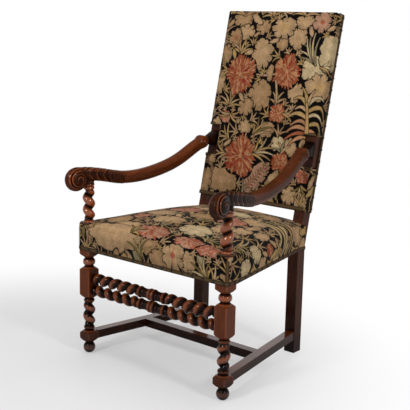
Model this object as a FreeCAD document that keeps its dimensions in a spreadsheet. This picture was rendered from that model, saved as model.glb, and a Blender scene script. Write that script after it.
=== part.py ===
import FreeCAD, Part
import math
import os

import Sketcher
from FreeCAD import Placement, Rotation, Vector

# A high-back armchair: turned barley-twist legs and stretchers, scrolled arms, stuffed seat and back.
# Millimetres, +Z up, front towards -Y. The origin is on the floor, in the middle of the chair's box.

DRIVING_DIMENSIONS = [
    ("front_leg_x", 292, "front leg axis, from the middle plane"),
    ("front_leg_y", -296, "front leg axis, along the chair's depth"),
    ("rear_leg_x", 208, "rear leg axis, from the middle plane"),
    ("rear_leg_y", 193, "rear leg axis, along the chair's depth"),
    ("leg_block", 45, "side of the square blocks on a front leg"),
    ("foot_radius", 20.5, "ball foot"),
    ("foot_flat", 8, "radius of the flat under the ball foot"),
    ("lower_block_bottom", 43, "height of the block for the low stretchers"),
    ("lower_block_top", 78, "top of the block for the low stretchers"),
    ("upper_block_bottom", 197, "height of the block for the twist stretchers"),
    ("upper_block_top", 300, "top of the block for the twist stretchers"),
    ("seat_block_bottom", 338, "height of the block for the seat rails"),
    ("block_above_rail", 8, "the seat block rises this much above the seat rails"),
    ("support_height", 126, "arm support, from the seat block to the arm"),
    ("block_shoulder", 8, "height of the turned shoulder at a block's end"),
    ("shoulder_radius", 20, "radius of the turned shoulder where it ends"),
    ("neck_radius", 13, "thinnest turned neck"),
    ("ring_radius", 18.5, "turned ring at the end of a twist"),
    ("ring_height", 12, "height of that ring"),
    ("bead_radius", 21, "ball bead under the seat"),
    ("twist_crest", 21, "largest radius of a leg's twist"),
    ("twist_valley", 9.5, "least radius of a leg's twist"),
    ("twist_pitch", 40, "height of one turn of a leg's twist"),
    ("twist_pair_drop", 4, "the pair of twist stretchers lies this much below the middle of its block"),
    ("twist_pair_gap", 0.6, "air between the crests of the two twist stretchers"),
    ("stretcher_crest", 19.7, "largest radius of a twist stretcher"),
    ("stretcher_valley", 9.5, "least radius of a twist stretcher"),
    ("stretcher_turns", 5, "turns on each half of a twist stretcher"),
    ("middle_turning", 116, "length of the turned rings in the middle of a twist stretcher"),
    ("dowel_radius", 8, "round tenons of the twist stretchers and arm supports"),
    ("dowel_length", 20, "depth of those tenons"),
    ("post_width", 40, "rear post, across the chair"),
    ("post_depth", 40, "rear post, along the chair's depth"),
    ("post_top", 1147, "height of the rear post"),
    ("bend_height", 372, "height where the rear post starts to lean"),
    ("back_lean", 175, "how far the top of the post leans behind its foot"),
    ("rail_lift", 34, "underside of the seat rails, above the bottom of the seat block"),
    ("rail_height", 70, "seat rail"),
    ("rail_thickness", 28, "seat rail"),
    ("rail_setback", 1, "rails stand this far inside the faces of the blocks"),
    ("tenon_thickness", 10, "all flat tenons"),
    ("tenon_length", 18, "all flat tenons"),
    ("tenon_shoulder", 5, "tenons are this much lower than their rail, above and below"),
    ("fit_gap", 0.15, "clearance round tenons, dowels and pegs"),
    ("peg_radius", 4, "oak pegs through the seat rails' tenons"),
    ("peg_length", 26, "oak pegs"),
    ("peg_stagger", 14, "pegs of neighbouring rails are this far apart in height"),
    ("stretcher_lift", 5, "underside of the low stretchers, above the bottom of their block"),
    ("stretcher_height", 28, "low stretchers"),
    ("stretcher_width", 30, "low stretchers"),
    ("cross_stretcher_y", -61, "middle of the low cross stretcher"),
    ("back_rail_height", 55, "top and bottom rails of the back"),
    ("back_rail_thickness", 26, "top and bottom rails of the back"),
    ("back_bottom", 124, "lower edge of the back, along the post from the underside of the seat rails"),
    ("back_padding", 1, "stuffing between a post's side and the back cover"),
    ("back_edge", 4, "stuffing on the back at its edges"),
    ("back_crown", 16, "extra stuffing in the middle of the back"),
    ("cover_drop", 10, "the seat cover hangs this much below the seat rails"),
    ("seat_crown", 55, "rise of the seat from its edge to its middle"),
    ("cover_thickness", 2.5, "needlepoint cover"),
    ("cover_gap", 0.3, "air between a cover and what it covers"),
    ("webbing_width", 50, "webbing strap"),
    ("webbing_thickness", 1.6, "webbing strap"),
    ("hessian_thickness", 1, "hessian over the webbing"),
    ("lining_thickness", 1.5, "lining behind the back"),
    ("braid_width", 13, "braid along the edges"),
    ("braid_thickness", 2, "braid along the edges"),
    ("nail_radius", 4.5, "head of an upholstery nail"),
    ("nail_rise", 3.2, "head of an upholstery nail"),
    ("nail_shank", 0.9, "radius of a nail's shank"),
    ("nail_spacing", 41, "most space between the nails"),
    ("scroll_radius", 37, "roll at the front of an arm"),
    ("scroll_reach", 50, "middle of the roll, ahead of the arm support"),
    ("scroll_height", 25, "middle of the roll, above the arm support"),
    ("scroll_width", 38, "roll, across"),
    ("scroll_eye", 10, "radius of the eye of the roll"),
    ("arm_width", 40, "arm shaft, across"),
    ("arm_thickness", 38, "arm shaft, from its upper to its lower face"),
    ("leaf_width", 42, "carved front part of an arm, across"),
    ("leaf_length", 132, "carved part of an arm, behind the arm support"),
    ("leaf_step", 1.5, "the carved part stands this much proud of the shaft"),
    ("arm_sag", 14, "lowest point of the arm's middle line, above the arm support"),
    ("arm_joint_height", 692.5, "middle of the arm where it meets the post"),
    ("arm_tenon_height", 42, "tenon of an arm in its post"),
    ("elbow_eye", 9, "radius of the round eye on the elbow of an arm"),
]


class Size:
    """A length that knows both its value and the sheet expression that it comes from."""

    def __init__(self, text, value):
        self.text = text
        self.value = value

    def __add__(self, other):
        other = as_size(other)
        return Size(f"({self.text} + {other.text})", self.value + other.value)

    def __radd__(self, other):
        return as_size(other) + self

    def __sub__(self, other):
        other = as_size(other)
        return Size(f"({self.text} - {other.text})", self.value - other.value)

    def __rsub__(self, other):
        return as_size(other) - self

    def __mul__(self, other):
        other = as_size(other)
        return Size(f"({self.text} * {other.text})", self.value * other.value)

    def __rmul__(self, other):
        return as_size(other) * self

    def __truediv__(self, other):
        other = as_size(other)
        return Size(f"({self.text} / {other.text})", self.value / other.value)

    def __rtruediv__(self, other):
        return as_size(other) / self

    def __neg__(self):
        return Size(f"(0 - {self.text})", -self.value)


def as_size(number):
    return number if isinstance(number, Size) else Size(repr(float(number)), float(number))


def root(size):
    return Size(f"sqrt({size.text})", math.sqrt(size.value))


def larger(first, second):
    return Size(f"max({first.text}; {second.text})", max(first.value, second.value))


doc = FreeCAD.newDocument("high_back_armchair")
sheet = doc.addObject("Spreadsheet::Sheet", "sizes")
for row, (alias, number, note) in enumerate(DRIVING_DIMENSIONS, 1):
    sheet.set(f"A{row}", alias)
    sheet.set(f"B{row}", str(number))
    sheet.set(f"C{row}", note)
    sheet.setAlias(f"B{row}", alias)
doc.recompute()


def size(alias):
    return Size(f"sizes.{alias}", float(sheet.get(alias)))


def bind(item, name, length):
    item.setExpression(name, as_size(length).text)


def place(item, x, y, z):
    for axis, length in zip("xyz", (x, y, z)):
        bind(item, f"Placement.Base.{axis}", length)


# Features: every one is an object of the document, bound to the sheet


def box(name, low, high):
    item = doc.addObject("Part::Box", name)
    for side, start, end in zip(("Length", "Width", "Height"), low, high):
        bind(item, side, as_size(end) - start)
    place(item, *low)
    return item


def grown(low, high, gap):
    return [as_size(at) - gap for at in low], [as_size(at) + gap for at in high]


def cylinder(name, start, radius, length, axis="z"):
    item = doc.addObject("Part::Cylinder", name)
    bind(item, "Radius", radius)
    bind(item, "Height", length)
    turn = {"z": Rotation(), "x": Rotation(Vector(0, 1, 0), 90), "y": Rotation(Vector(1, 0, 0), -90)}
    item.Placement = Placement(Vector(), turn[axis])
    place(item, *start)
    return item


def cone(name, start, lower_radius, upper_radius, length, axis="z"):
    item = doc.addObject("Part::Cone", name)
    bind(item, "Radius1", lower_radius)
    bind(item, "Radius2", upper_radius)
    bind(item, "Height", length)
    if axis == "x":
        item.Placement = Placement(Vector(), Rotation(Vector(0, 1, 0), 90))
    place(item, *start)
    return item


def bead(name, middle, radius, height, axis="z", end_latitude=35):
    """A turned bead: a bulge between two flat round ends, which lie at a latitude of its bulge."""
    item = doc.addObject("Part::Ellipsoid", name)
    bind(item, "Radius1", height / 2 / math.sin(math.radians(end_latitude)))
    bind(item, "Radius2", radius)
    item.Angle1 = -end_latitude
    item.Angle2 = end_latitude
    if axis == "x":
        item.Placement = Placement(Vector(), Rotation(Vector(0, 1, 0), 90))
    place(item, *middle)
    return item


def prism(name, plane_role, corners, start, length):
    """A padded outline: corners are pairs of sizes on an origin plane, start is the offset from it."""
    body = doc.addObject("PartDesign::Body", name)
    sketch = body.newObject("Sketcher::SketchObject", name + "_outline")
    plane = next(item for item in body.Origin.OriginFeatures if item.Role == plane_role)
    sketch.AttachmentSupport = [(plane, "")]
    sketch.MapMode = "FlatFace"
    bind(sketch, "AttachmentOffset.Base.z", start)
    corners = [(as_size(across), as_size(along)) for across, along in corners]
    points = [Vector(across.value, along.value, 0) for across, along in corners]
    for first, second in zip(points, points[1:] + points[:1]):
        sketch.addGeometry(Part.LineSegment(first, second), False)
    for line, corner in enumerate(corners):
        sketch.addConstraint(Sketcher.Constraint("Coincident", line, 2, (line + 1) % len(corners), 1))
        for kind, length_along in zip(("DistanceX", "DistanceY"), corner):
            tie = Sketcher.Constraint(kind, -1, 1, line, 1, length_along.value)
            bind(sketch, f"Constraints[{sketch.addConstraint(tie)}]", length_along)
    pad = body.newObject("PartDesign::Pad", name + "_pad")
    pad.Profile = sketch
    bind(pad, "Length", length)
    return body


def joined(name, pieces):
    item = doc.addObject("Part::MultiFuse", name)
    item.Shapes = pieces
    return item


def shared(name, base, tool):
    item = doc.addObject("Part::Common", name)
    item.Base = base
    item.Tool = tool
    return item


def cut(name, base, tools):
    item = doc.addObject("Part::Cut", name)
    item.Base = base
    item.Tool = tools[0] if len(tools) == 1 else joined(name + "_cuts", tools)
    return item


def mirrored(name, source):
    item = doc.addObject("Part::Mirroring", name)
    item.Source = source
    item.Normal = Vector(1, 0, 0)
    return item


def solid(name, shape, placement=Placement()):
    item = doc.addObject("Part::Feature", name)
    item.Shape = shape
    item.Placement = placement
    return item


# Sizes that several pieces share

front_leg_x = size("front_leg_x")
front_leg_y = size("front_leg_y")
rear_leg_x = size("rear_leg_x")
rear_leg_y = size("rear_leg_y")
leg_block = size("leg_block")
half_block = leg_block / 2
post_width = size("post_width")
post_depth = size("post_depth")
half_post = post_width / 2
fit_gap = size("fit_gap")
tenon_thickness = size("tenon_thickness")
tenon_length = size("tenon_length")
tenon_shoulder = size("tenon_shoulder")
lower_block_bottom = size("lower_block_bottom")
lower_block_top = size("lower_block_top")
upper_block_bottom = size("upper_block_bottom")
upper_block_top = size("upper_block_top")
seat_block_bottom = size("seat_block_bottom")
rail_bottom = seat_block_bottom + size("rail_lift")
rail_top = rail_bottom + size("rail_height")
seat_block_top = rail_top + size("block_above_rail")
support_top = seat_block_top + size("support_height")
seat_bottom = rail_bottom - size("cover_drop")
rail_thickness = size("rail_thickness")
rail_setback = size("rail_setback")
dowel_radius = size("dowel_radius")
dowel_length = size("dowel_length")
dowel_hole_radius = dowel_radius + fit_gap
dowel_hole_depth = dowel_length + 2 * fit_gap
stretcher_bottom = lower_block_bottom + size("stretcher_lift")
stretcher_height = size("stretcher_height")
stretcher_top = stretcher_bottom + stretcher_height
stretcher_crest = size("stretcher_crest")
twist_pair_middle = (upper_block_bottom + upper_block_top) / 2 - size("twist_pair_drop")
twist_half_spacing = stretcher_crest + size("twist_pair_gap") / 2
TWIST_HEIGHTS = {
    "upper": twist_pair_middle + twist_half_spacing,
    "lower": twist_pair_middle - twist_half_spacing,
}
peg_radius = size("peg_radius")
peg_length = size("peg_length")

block_front = front_leg_y - half_block
block_back = front_leg_y + half_block
block_outer = front_leg_x + half_block
block_inner = front_leg_x - half_block
post_front = rear_leg_y - post_depth / 2
post_back = rear_leg_y + post_depth / 2
post_outer = rear_leg_x + half_post
post_inner = rear_leg_x - half_post
splay = (rear_leg_x - front_leg_x) / (rear_leg_y - front_leg_y)
outer_splay = (post_outer - block_outer) / (post_front - block_back)

bend_height = size("bend_height")
post_top = size("post_top")
lean = size("back_lean") / (post_top - bend_height)
lean_cos = 1 / root(1 + lean * lean)
lean_sin = lean * lean_cos


def on_back(along, behind):
    """Depth and height of a point on the leaning back: along the post, and behind the post's front."""
    depth = post_front + along * lean_sin + behind * lean_cos
    return depth, bend_height + along * lean_cos - behind * lean_sin


top_post_back = post_back + size("back_lean")


def post_face(height):
    """Depth of a post's front face at a height: it is upright below the bend and leans above it."""
    return post_front + (larger(height, bend_height) - bend_height) * lean


def post_outline(gap):
    """Side view of a rear post, with some air round it."""
    return [
        (post_front - gap, 0),
        (post_back + gap, 0),
        (post_back + gap, bend_height),
        (top_post_back + gap, post_top),
        (top_post_back - post_depth - gap, post_top),
        (post_front - gap, bend_height),
    ]


def leg_line(y):
    """Distance of the line of the legs on one side from the middle plane."""
    return front_leg_x + (y - front_leg_y) * splay


def rail_line(y):
    """Distance of the outer face of a side rail from the middle plane."""
    return block_outer - rail_setback + (y - block_back) * outer_splay


# Tenons, each as the low and high corner of its box on the right-hand side of the chair

rail_tenon_low = rail_bottom + tenon_shoulder
rail_tenon_high = rail_top - tenon_shoulder
front_tenon_y = block_front + rail_setback + rail_thickness / 2
front_rail_tenon = (
    [block_inner, front_tenon_y - tenon_thickness / 2, rail_tenon_low],
    [block_inner + tenon_length, front_tenon_y + tenon_thickness / 2, rail_tenon_high],
)
rail_middle = (rail_bottom + rail_top) / 2
high_peg = rail_middle + size("peg_stagger") / 2
low_peg = rail_middle - size("peg_stagger") / 2
rear_peg_start = post_face(high_peg) + post_depth - peg_length
rear_tenon_y = rear_peg_start + tenon_thickness / 2 + rail_setback
rear_rail_tenon = (
    [post_inner, rear_tenon_y - tenon_thickness / 2, rail_tenon_low],
    [post_inner + tenon_length, rear_tenon_y + tenon_thickness / 2, rail_tenon_high],
)
side_front_x = rail_line(block_back) - rail_thickness / 2
side_rail_front_tenon = (
    [side_front_x - tenon_thickness / 2, block_back - tenon_length, rail_tenon_low],
    [side_front_x + tenon_thickness / 2, block_back, rail_tenon_high],
)
side_rear_x = rail_line(post_front) - rail_thickness / 2


def side_rail_rear_tenon(name, gap):
    """The tenon's outline follows the lean of the post."""
    outline = []
    for height, reach in (
        (rail_tenon_low - gap, 0 - tenon_length / 2),
        (rail_tenon_low - gap, tenon_length + gap),
        (rail_tenon_high + gap, tenon_length + gap),
        (rail_tenon_high + gap, 0 - tenon_length / 2),
    ):
        outline.append((post_face(height) + reach, height))
    start = side_rear_x - tenon_thickness / 2 - gap
    return prism(name, "YZ_Plane", outline, start, tenon_thickness + 2 * gap)


low_tenon_bottom = stretcher_bottom + tenon_shoulder
low_tenon_top = stretcher_top - tenon_shoulder
stretcher_front_tenon = (
    [leg_line(block_back) - tenon_thickness / 2, block_back - tenon_length, low_tenon_bottom],
    [leg_line(block_back) + tenon_thickness / 2, block_back, low_tenon_top],
)
stretcher_rear_tenon = (
    [leg_line(post_front) - tenon_thickness / 2, post_front, low_tenon_bottom],
    [leg_line(post_front) + tenon_thickness / 2, post_front + tenon_length, low_tenon_top],
)
cross_stretcher_y = size("cross_stretcher_y")
half_stretcher = size("stretcher_width") / 2
cross_end = leg_line(cross_stretcher_y) - half_stretcher * root(1 + splay * splay)
cross_tenon = (
    [cross_end - half_stretcher, cross_stretcher_y - tenon_thickness / 2, low_tenon_bottom],
    [cross_end + tenon_length, cross_stretcher_y + tenon_thickness / 2, low_tenon_top],
)
arm_joint_height = size("arm_joint_height")
arm_tenon_height = size("arm_tenon_height")
arm_joint_y = post_face(arm_joint_height)
arm_tenon_reach = arm_tenon_height / 2 * lean
arm_tenon_low = arm_joint_height - arm_tenon_height / 2
arm_tenon_high = arm_joint_height + arm_tenon_height / 2
arm_tenon_end = arm_joint_y + arm_tenon_reach + tenon_length
arm_tenon = (
    [rear_leg_x - tenon_thickness / 2, arm_joint_y - arm_tenon_reach, arm_tenon_low],
    [rear_leg_x + tenon_thickness / 2, arm_tenon_end, arm_tenon_high],
)

# Pegs: start point and axis of each on the right-hand side, all driven inwards from an outer face

half_tenon = tenon_length / 2
PEGS = {
    "front_rail": ([block_inner + half_tenon, block_front, high_peg], "y"),
    "side_rail_front": ([block_outer - peg_length, block_back - half_tenon, low_peg], "x"),
    "side_rail_rear": ([post_outer - peg_length, post_face(low_peg) + half_tenon, low_peg], "x"),
    "rear_rail": ([post_inner + half_tenon, rear_peg_start, high_peg], "y"),
}


def peg_hole(owner, peg):
    start, axis = PEGS[peg]
    return cylinder(f"{owner}_{peg}_peg_hole", start, peg_radius + fit_gap, peg_length, axis)


def mortise(name, tenon):
    return box(name, *grown(*tenon, fit_gap))


# Barley twist: one bold strand, with broad crests and sharp valleys


def twist_section(height, turn, crest, valley):
    count = 14
    points = []
    for step in range(count):
        swing = -math.pi + 2 * math.pi * step / count
        radius = valley + (crest - valley) * math.cos(swing / 2)
        points.append(Vector(radius * math.cos(swing + turn), radius * math.sin(swing + turn), height))
    curve = Part.BSplineCurve()
    curve.interpolate(points + points[:1])
    return Part.Wire([curve.toShape()])


def twist_shape(length, crest, valley, pitch, hand, first_turn=0.0):
    """The strand along +Z; at both ends it runs out into the turned rings over half a turn."""
    sections_a_turn = 10
    run_out = 0.5 * pitch
    end_swell = 0.45
    count = max(4, round(length / pitch * sections_a_turn))
    sections = []
    for step in range(count + 1):
        height = length * step / count
        ease = min(1.0, height / run_out, (length - height) / run_out)
        swell = end_swell + (1 - end_swell) * math.sin(ease * math.pi / 2)
        turn = first_turn + hand * 2 * math.pi * height / pitch
        sections.append(twist_section(height, turn, valley + (crest - valley) * swell, valley))
    return Part.makeLoft(sections, True, False)


# Front legs: foot, three blocks, two twists and the beads between them, in one piece up to the arm

shoulder_radius = size("shoulder_radius")
neck_radius = size("neck_radius")
ring_radius = size("ring_radius")
ring_height = size("ring_height")
block_shoulder = size("block_shoulder")
twist_crest = size("twist_crest")
twist_valley = size("twist_valley")
twist_pitch = size("twist_pitch")


def at_leg(height):
    return [front_leg_x, front_leg_y, height]


def turned_block(name, bottom, top, top_shoulder):
    """A square block whose corners are turned away at its ends."""
    corner_radius = half_block * math.sqrt(2)
    square = box(name + "_square", [block_inner, block_front, bottom], [block_outer, block_back, top])
    straight_top = top - block_shoulder if top_shoulder else top
    straight = straight_top - bottom - block_shoulder
    pieces = [
        cone(name + "_lower_shoulder", at_leg(bottom), shoulder_radius, corner_radius, block_shoulder),
        cylinder(name + "_round", at_leg(bottom + block_shoulder), corner_radius, straight),
    ]
    if top_shoulder:
        start = at_leg(straight_top)
        pieces.append(cone(name + "_upper_shoulder", start, corner_radius, shoulder_radius, block_shoulder))
    return shared(name, square, joined(name + "_turning", pieces))


def ring(name, bottom):
    return bead(name, at_leg(bottom + ring_height / 2), ring_radius, ring_height)


def leg_twist(name, bottom, top):
    length = (top - bottom).value
    shape = twist_shape(length, twist_crest.value, twist_valley.value, twist_pitch.value, 1)
    return solid(name, shape, Placement(Vector(*[part.value for part in at_leg(bottom)]), Rotation()))


def front_leg():
    foot_radius = size("foot_radius")
    foot_flat = size("foot_flat")
    foot_middle = root(foot_radius * foot_radius - foot_flat * foot_flat)
    foot = doc.addObject("Part::Sphere", "leg_foot")
    bind(foot, "Radius", foot_radius)
    foot.setExpression("Angle1", f"-asin({(foot_middle / foot_radius).text})")
    place(foot, *at_leg(foot_middle))
    cove = ring_height / 2
    ankle_bottom = foot_middle + foot_radius * 0.75
    ankle_height = lower_block_bottom - ankle_bottom
    twist_bottom = lower_block_top + cove + ring_height
    twist_top = upper_block_bottom - cove - ring_height
    bead_bottom = upper_block_top + cove
    bead_top = seat_block_bottom - cove
    bead_middle = at_leg((bead_bottom + bead_top) / 2)
    support_bottom = seat_block_top + ring_height
    support_end = support_top - ring_height
    pieces = [
        foot,
        cone("leg_ankle", at_leg(ankle_bottom), neck_radius * 0.8, shoulder_radius, ankle_height),
        turned_block("leg_lower_block", lower_block_bottom, lower_block_top, True),
        cone("leg_lower_cove", at_leg(lower_block_top), shoulder_radius, neck_radius, cove),
        ring("leg_lower_ring", lower_block_top + cove),
        leg_twist("leg_twist", twist_bottom, twist_top),
        ring("leg_knee_ring", twist_top),
        cone("leg_knee_cove", at_leg(upper_block_bottom - cove), neck_radius, shoulder_radius, cove),
        turned_block("leg_upper_block", upper_block_bottom, upper_block_top, True),
        cone("leg_bead_lower_cove", at_leg(upper_block_top), shoulder_radius, neck_radius, cove),
        bead("leg_bead", bead_middle, size("bead_radius"), bead_top - bead_bottom, end_latitude=50),
        cone("leg_bead_upper_cove", at_leg(seat_block_bottom - cove), neck_radius, shoulder_radius, cove),
        turned_block("leg_seat_block", seat_block_bottom, seat_block_top, False),
        ring("support_base_ring", seat_block_top),
        leg_twist("support_twist", support_bottom, support_end),
        ring("support_top_ring", support_end),
        cylinder("support_tenon", at_leg(support_top), dowel_radius, dowel_length),
    ]
    cuts = [
        mortise("leg_front_rail_mortise", front_rail_tenon),
        mortise("leg_side_rail_mortise", side_rail_front_tenon),
        mortise("leg_stretcher_mortise", stretcher_front_tenon),
        peg_hole("leg", "front_rail"),
        peg_hole("leg", "side_rail_front"),
    ]
    for name in ("upper", "lower"):
        start = [block_inner - fit_gap, front_leg_y, TWIST_HEIGHTS[name]]
        cuts.append(cylinder(f"leg_{name}_dowel_hole", start, dowel_hole_radius, dowel_hole_depth, "x"))
    return cut("front_leg_right", joined("leg_turning", pieces), cuts)


# Twist stretchers between the front legs, one above the other, of opposite hand


def twist_stretcher(name, hand):
    height = TWIST_HEIGHTS[name]
    crest = stretcher_crest
    valley = size("stretcher_valley")
    half_middle = size("middle_turning") / 2
    collar = ring_height / 2
    strand = block_inner - half_middle - collar
    pitch = strand / size("stretcher_turns")

    def along(x):
        return [x, front_leg_y, height]

    def end_collar(side, start):
        return cylinder(f"{name}_{side}_collar", along(start), shoulder_radius * 0.8, collar, "x")

    pieces = [
        end_collar("right", block_inner - collar),
        end_collar("left", -block_inner),
        cylinder(f"{name}_right_dowel", along(block_inner), dowel_radius, dowel_length, "x"),
        cylinder(f"{name}_left_dowel", along(-block_inner - dowel_length), dowel_radius, dowel_length, "x"),
    ]
    # From the middle outwards: a pair of bold beads, a small ring and a bead that the strand grows out of
    bead_pitch = half_middle / 4
    for number, share in enumerate((0.98, 0.8, 0.8, 0.95)):
        for side, sign in (("right", 1), ("left", -1)):
            middle = along(sign * bead_pitch * (number + 0.5))
            pieces.append(bead(f"{name}_{side}_bead_{number + 1}", middle, crest * share, bead_pitch, "x"))
    for side, start in (("right", half_middle), ("left", -half_middle - strand)):
        shape = twist_shape(strand.value, crest.value, valley.value, pitch.value, hand)
        at = Vector(*[part.value for part in along(start)])
        pieces.append(solid(f"{name}_{side}_strand", shape, Placement(at, Rotation(Vector(0, 1, 0), 90))))
    return joined(f"front_twist_stretcher_{name}", pieces)


# Low stretchers: two along the sides and one across


def side_stretcher():
    half_slant = half_stretcher * root(1 + splay * splay)
    corners = [
        (leg_line(block_back) - half_slant, block_back),
        (leg_line(block_back) + half_slant, block_back),
        (leg_line(post_front) + half_slant, post_front),
        (leg_line(post_front) - half_slant, post_front),
    ]
    bar = prism("side_stretcher_bar", "XY_Plane", corners, stretcher_bottom, stretcher_height)
    tenons = [
        box("side_stretcher_front_tenon", *stretcher_front_tenon),
        box("side_stretcher_rear_tenon", *stretcher_rear_tenon),
    ]
    whole = joined("side_stretcher_whole", [bar] + tenons)
    return cut("side_stretcher_right", whole, [mortise("side_stretcher_mortise", cross_tenon)])


def cross_stretcher():
    near = cross_stretcher_y - half_stretcher
    far = cross_stretcher_y + half_stretcher
    near_end = cross_end - half_stretcher * splay
    far_end = cross_end + half_stretcher * splay
    corners = [(-near_end, near), (near_end, near), (far_end, far), (-far_end, far)]
    bar = prism("cross_stretcher_bar", "XY_Plane", corners, stretcher_bottom, stretcher_height)
    right_tenon = box("cross_stretcher_right_tenon", *cross_tenon)
    return joined("cross_stretcher", [bar, right_tenon, mirrored("cross_stretcher_left_tenon", right_tenon)])


# Seat rails, tenoned and pegged into the legs


def pegged_rail(name, bar, tenon, peg):
    """A rail across the chair, with a tenon and a peg hole at each end."""
    right_tenon = box(name + "_tenon", *tenon)
    whole = joined(name + "_whole", [bar, right_tenon, mirrored(name + "_left_tenon", right_tenon)])
    hole = peg_hole(name, peg)
    return cut(name, whole, [hole, mirrored(name + "_left_hole", hole)])


def front_rail():
    front = block_front + rail_setback
    low = [-block_inner, front, rail_bottom]
    high = [block_inner, front + rail_thickness, rail_top]
    bar = box("seat_rail_front_bar", low, high)
    return pegged_rail("seat_rail_front", bar, front_rail_tenon, "front_rail")


def rear_rail():
    back = post_back - rail_setback
    low = [-post_inner, back - rail_thickness, rail_bottom]
    high = [post_inner, back, rail_top]
    bar = box("seat_rail_rear_bar", low, high)
    return pegged_rail("seat_rail_rear", bar, rear_rail_tenon, "rear_rail")


def side_rail():
    far = post_face(rail_top) + rail_setback
    corners = [
        (rail_line(block_back) - rail_thickness, block_back),
        (rail_line(block_back), block_back),
        (rail_line(far), far),
        (rail_line(far) - rail_thickness, far),
    ]
    bar = prism("seat_rail_side_blank", "XY_Plane", corners, rail_bottom, rail_top - rail_bottom)
    shoulder = prism("seat_rail_side_shoulder", "YZ_Plane", post_outline(0), 0, 2 * front_leg_x)
    pieces = [
        cut("seat_rail_side_bar", bar, [shoulder]),
        box("seat_rail_side_front_tenon", *side_rail_front_tenon),
        side_rail_rear_tenon("seat_rail_side_rear_tenon", 0),
    ]
    holes = [peg_hole("seat_rail_side", "side_rail_front"), peg_hole("seat_rail_side", "side_rail_rear")]
    return cut("seat_rail_right", joined("seat_rail_side_whole", pieces), holes)


def seat_rail_pegs():
    pegs = []
    for name, (start, axis) in PEGS.items():
        right = cylinder(f"{name}_peg_right", start, peg_radius, peg_length, axis)
        pegs += [right, mirrored(f"{name}_peg_left", right)]
    group = doc.addObject("Part::Compound", "seat_rail_pegs")
    group.Links = pegs
    return group


# Rear posts and the rails of the back

back_bottom = size("back_bottom") + (rail_bottom - bend_height) / lean_cos
back_top = (post_top - bend_height) / lean_cos
back_rail_height = size("back_rail_height")
back_rail_thickness = size("back_rail_thickness")


def back_rail_outline(start, gap, shoulder):
    low = start + shoulder - gap
    high = start + back_rail_height - shoulder + gap
    tenon_inset = (back_rail_thickness - tenon_thickness) / 2 if shoulder is tenon_shoulder else 0
    near = tenon_inset - gap
    far = back_rail_thickness - tenon_inset + gap
    return [on_back(low, near), on_back(low, far), on_back(high, far), on_back(high, near)]


BACK_RAIL_STARTS = {
    "back_rail_bottom": back_bottom + size("cover_gap"),
    "back_rail_top": back_top - back_rail_height - tenon_shoulder,
}


def back_rail(name):
    start = BACK_RAIL_STARTS[name]
    bar = prism(name + "_bar", "YZ_Plane", back_rail_outline(start, 0, 0), -post_inner, 2 * post_inner)
    reach = post_inner + tenon_length
    tenon = prism(name + "_tenon", "YZ_Plane", back_rail_outline(start, 0, tenon_shoulder), -reach, 2 * reach)
    return joined(name, [bar, tenon])


def rear_leg():
    post = prism("rear_leg_post", "YZ_Plane", post_outline(0), post_inner, post_width)
    cuts = [
        side_rail_rear_tenon("post_side_rail_mortise", fit_gap),
        mortise("post_rear_rail_mortise", rear_rail_tenon),
        mortise("post_stretcher_mortise", stretcher_rear_tenon),
        mortise("post_arm_mortise", arm_tenon),
        peg_hole("post", "side_rail_rear"),
        peg_hole("post", "rear_rail"),
    ]
    for name, start in BACK_RAIL_STARTS.items():
        outline = back_rail_outline(start, fit_gap, tenon_shoulder)
        depth = tenon_length + 2 * fit_gap
        cuts.append(prism(f"post_{name}_mortise", "YZ_Plane", outline, post_inner - fit_gap, depth))
    return cut("rear_leg_right", post, cuts)


# Arms: a roll with an eye at the front, a carved leaf, a bowed shaft and an elbow against the post

scroll_radius = size("scroll_radius").value
arm_run = math.hypot((arm_joint_y - front_leg_y).value, (front_leg_x - rear_leg_x).value)
arm_turn = math.degrees(math.atan2((front_leg_x - rear_leg_x).value, (arm_joint_y - front_leg_y).value))
arm_placement = Placement(
    Vector(front_leg_x.value, front_leg_y.value, support_top.value), Rotation(Vector(0, 0, 1), arm_turn)
)


def rounded_section(middle, slope, thickness, width):
    """A rounded rectangle square to the arm's middle line, in the arm's own plane (Y along, Z up)."""
    corner = 0.32 * min(thickness, width)
    half_thick = thickness / 2
    half_wide = width / 2
    upward = Vector(0, -math.sin(slope), math.cos(slope))

    def at(across, up):
        return middle + Vector(across, 0, 0) + upward * up

    edges = []
    bulge = corner * (1 - math.sqrt(0.5))
    for side, level in ((1, -1), (1, 1), (-1, 1), (-1, -1)):
        flank = at(side * half_wide, level * (half_thick - corner))
        face = at(side * (half_wide - corner), level * half_thick)
        bend = at(side * (half_wide - bulge), level * (half_thick - bulge))
        first, last = (face, flank) if side * level < 0 else (flank, face)
        edges.append(Part.Arc(first, bend, last).toShape())
    ring_edges = []
    for arc, following in zip(edges, edges[1:] + edges[:1]):
        ring_edges.append(arc)
        ring_edges.append(Part.LineSegment(arc.lastVertex().Point, following.firstVertex().Point).toShape())
    return Part.Wire(ring_edges)


def arm_stretch(line, stations):
    """A loft along the arm's middle line through (share of the line, thickness, width) stations."""
    sections = []
    for share, thickness, width in stations:
        spot = line.FirstParameter + share * (line.LastParameter - line.FirstParameter)
        heading = line.tangent(spot)[0]
        sections.append(rounded_section(line.value(spot), math.atan2(heading.z, heading.y), thickness, width))
    return Part.makeLoft(sections, True, False)


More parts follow.
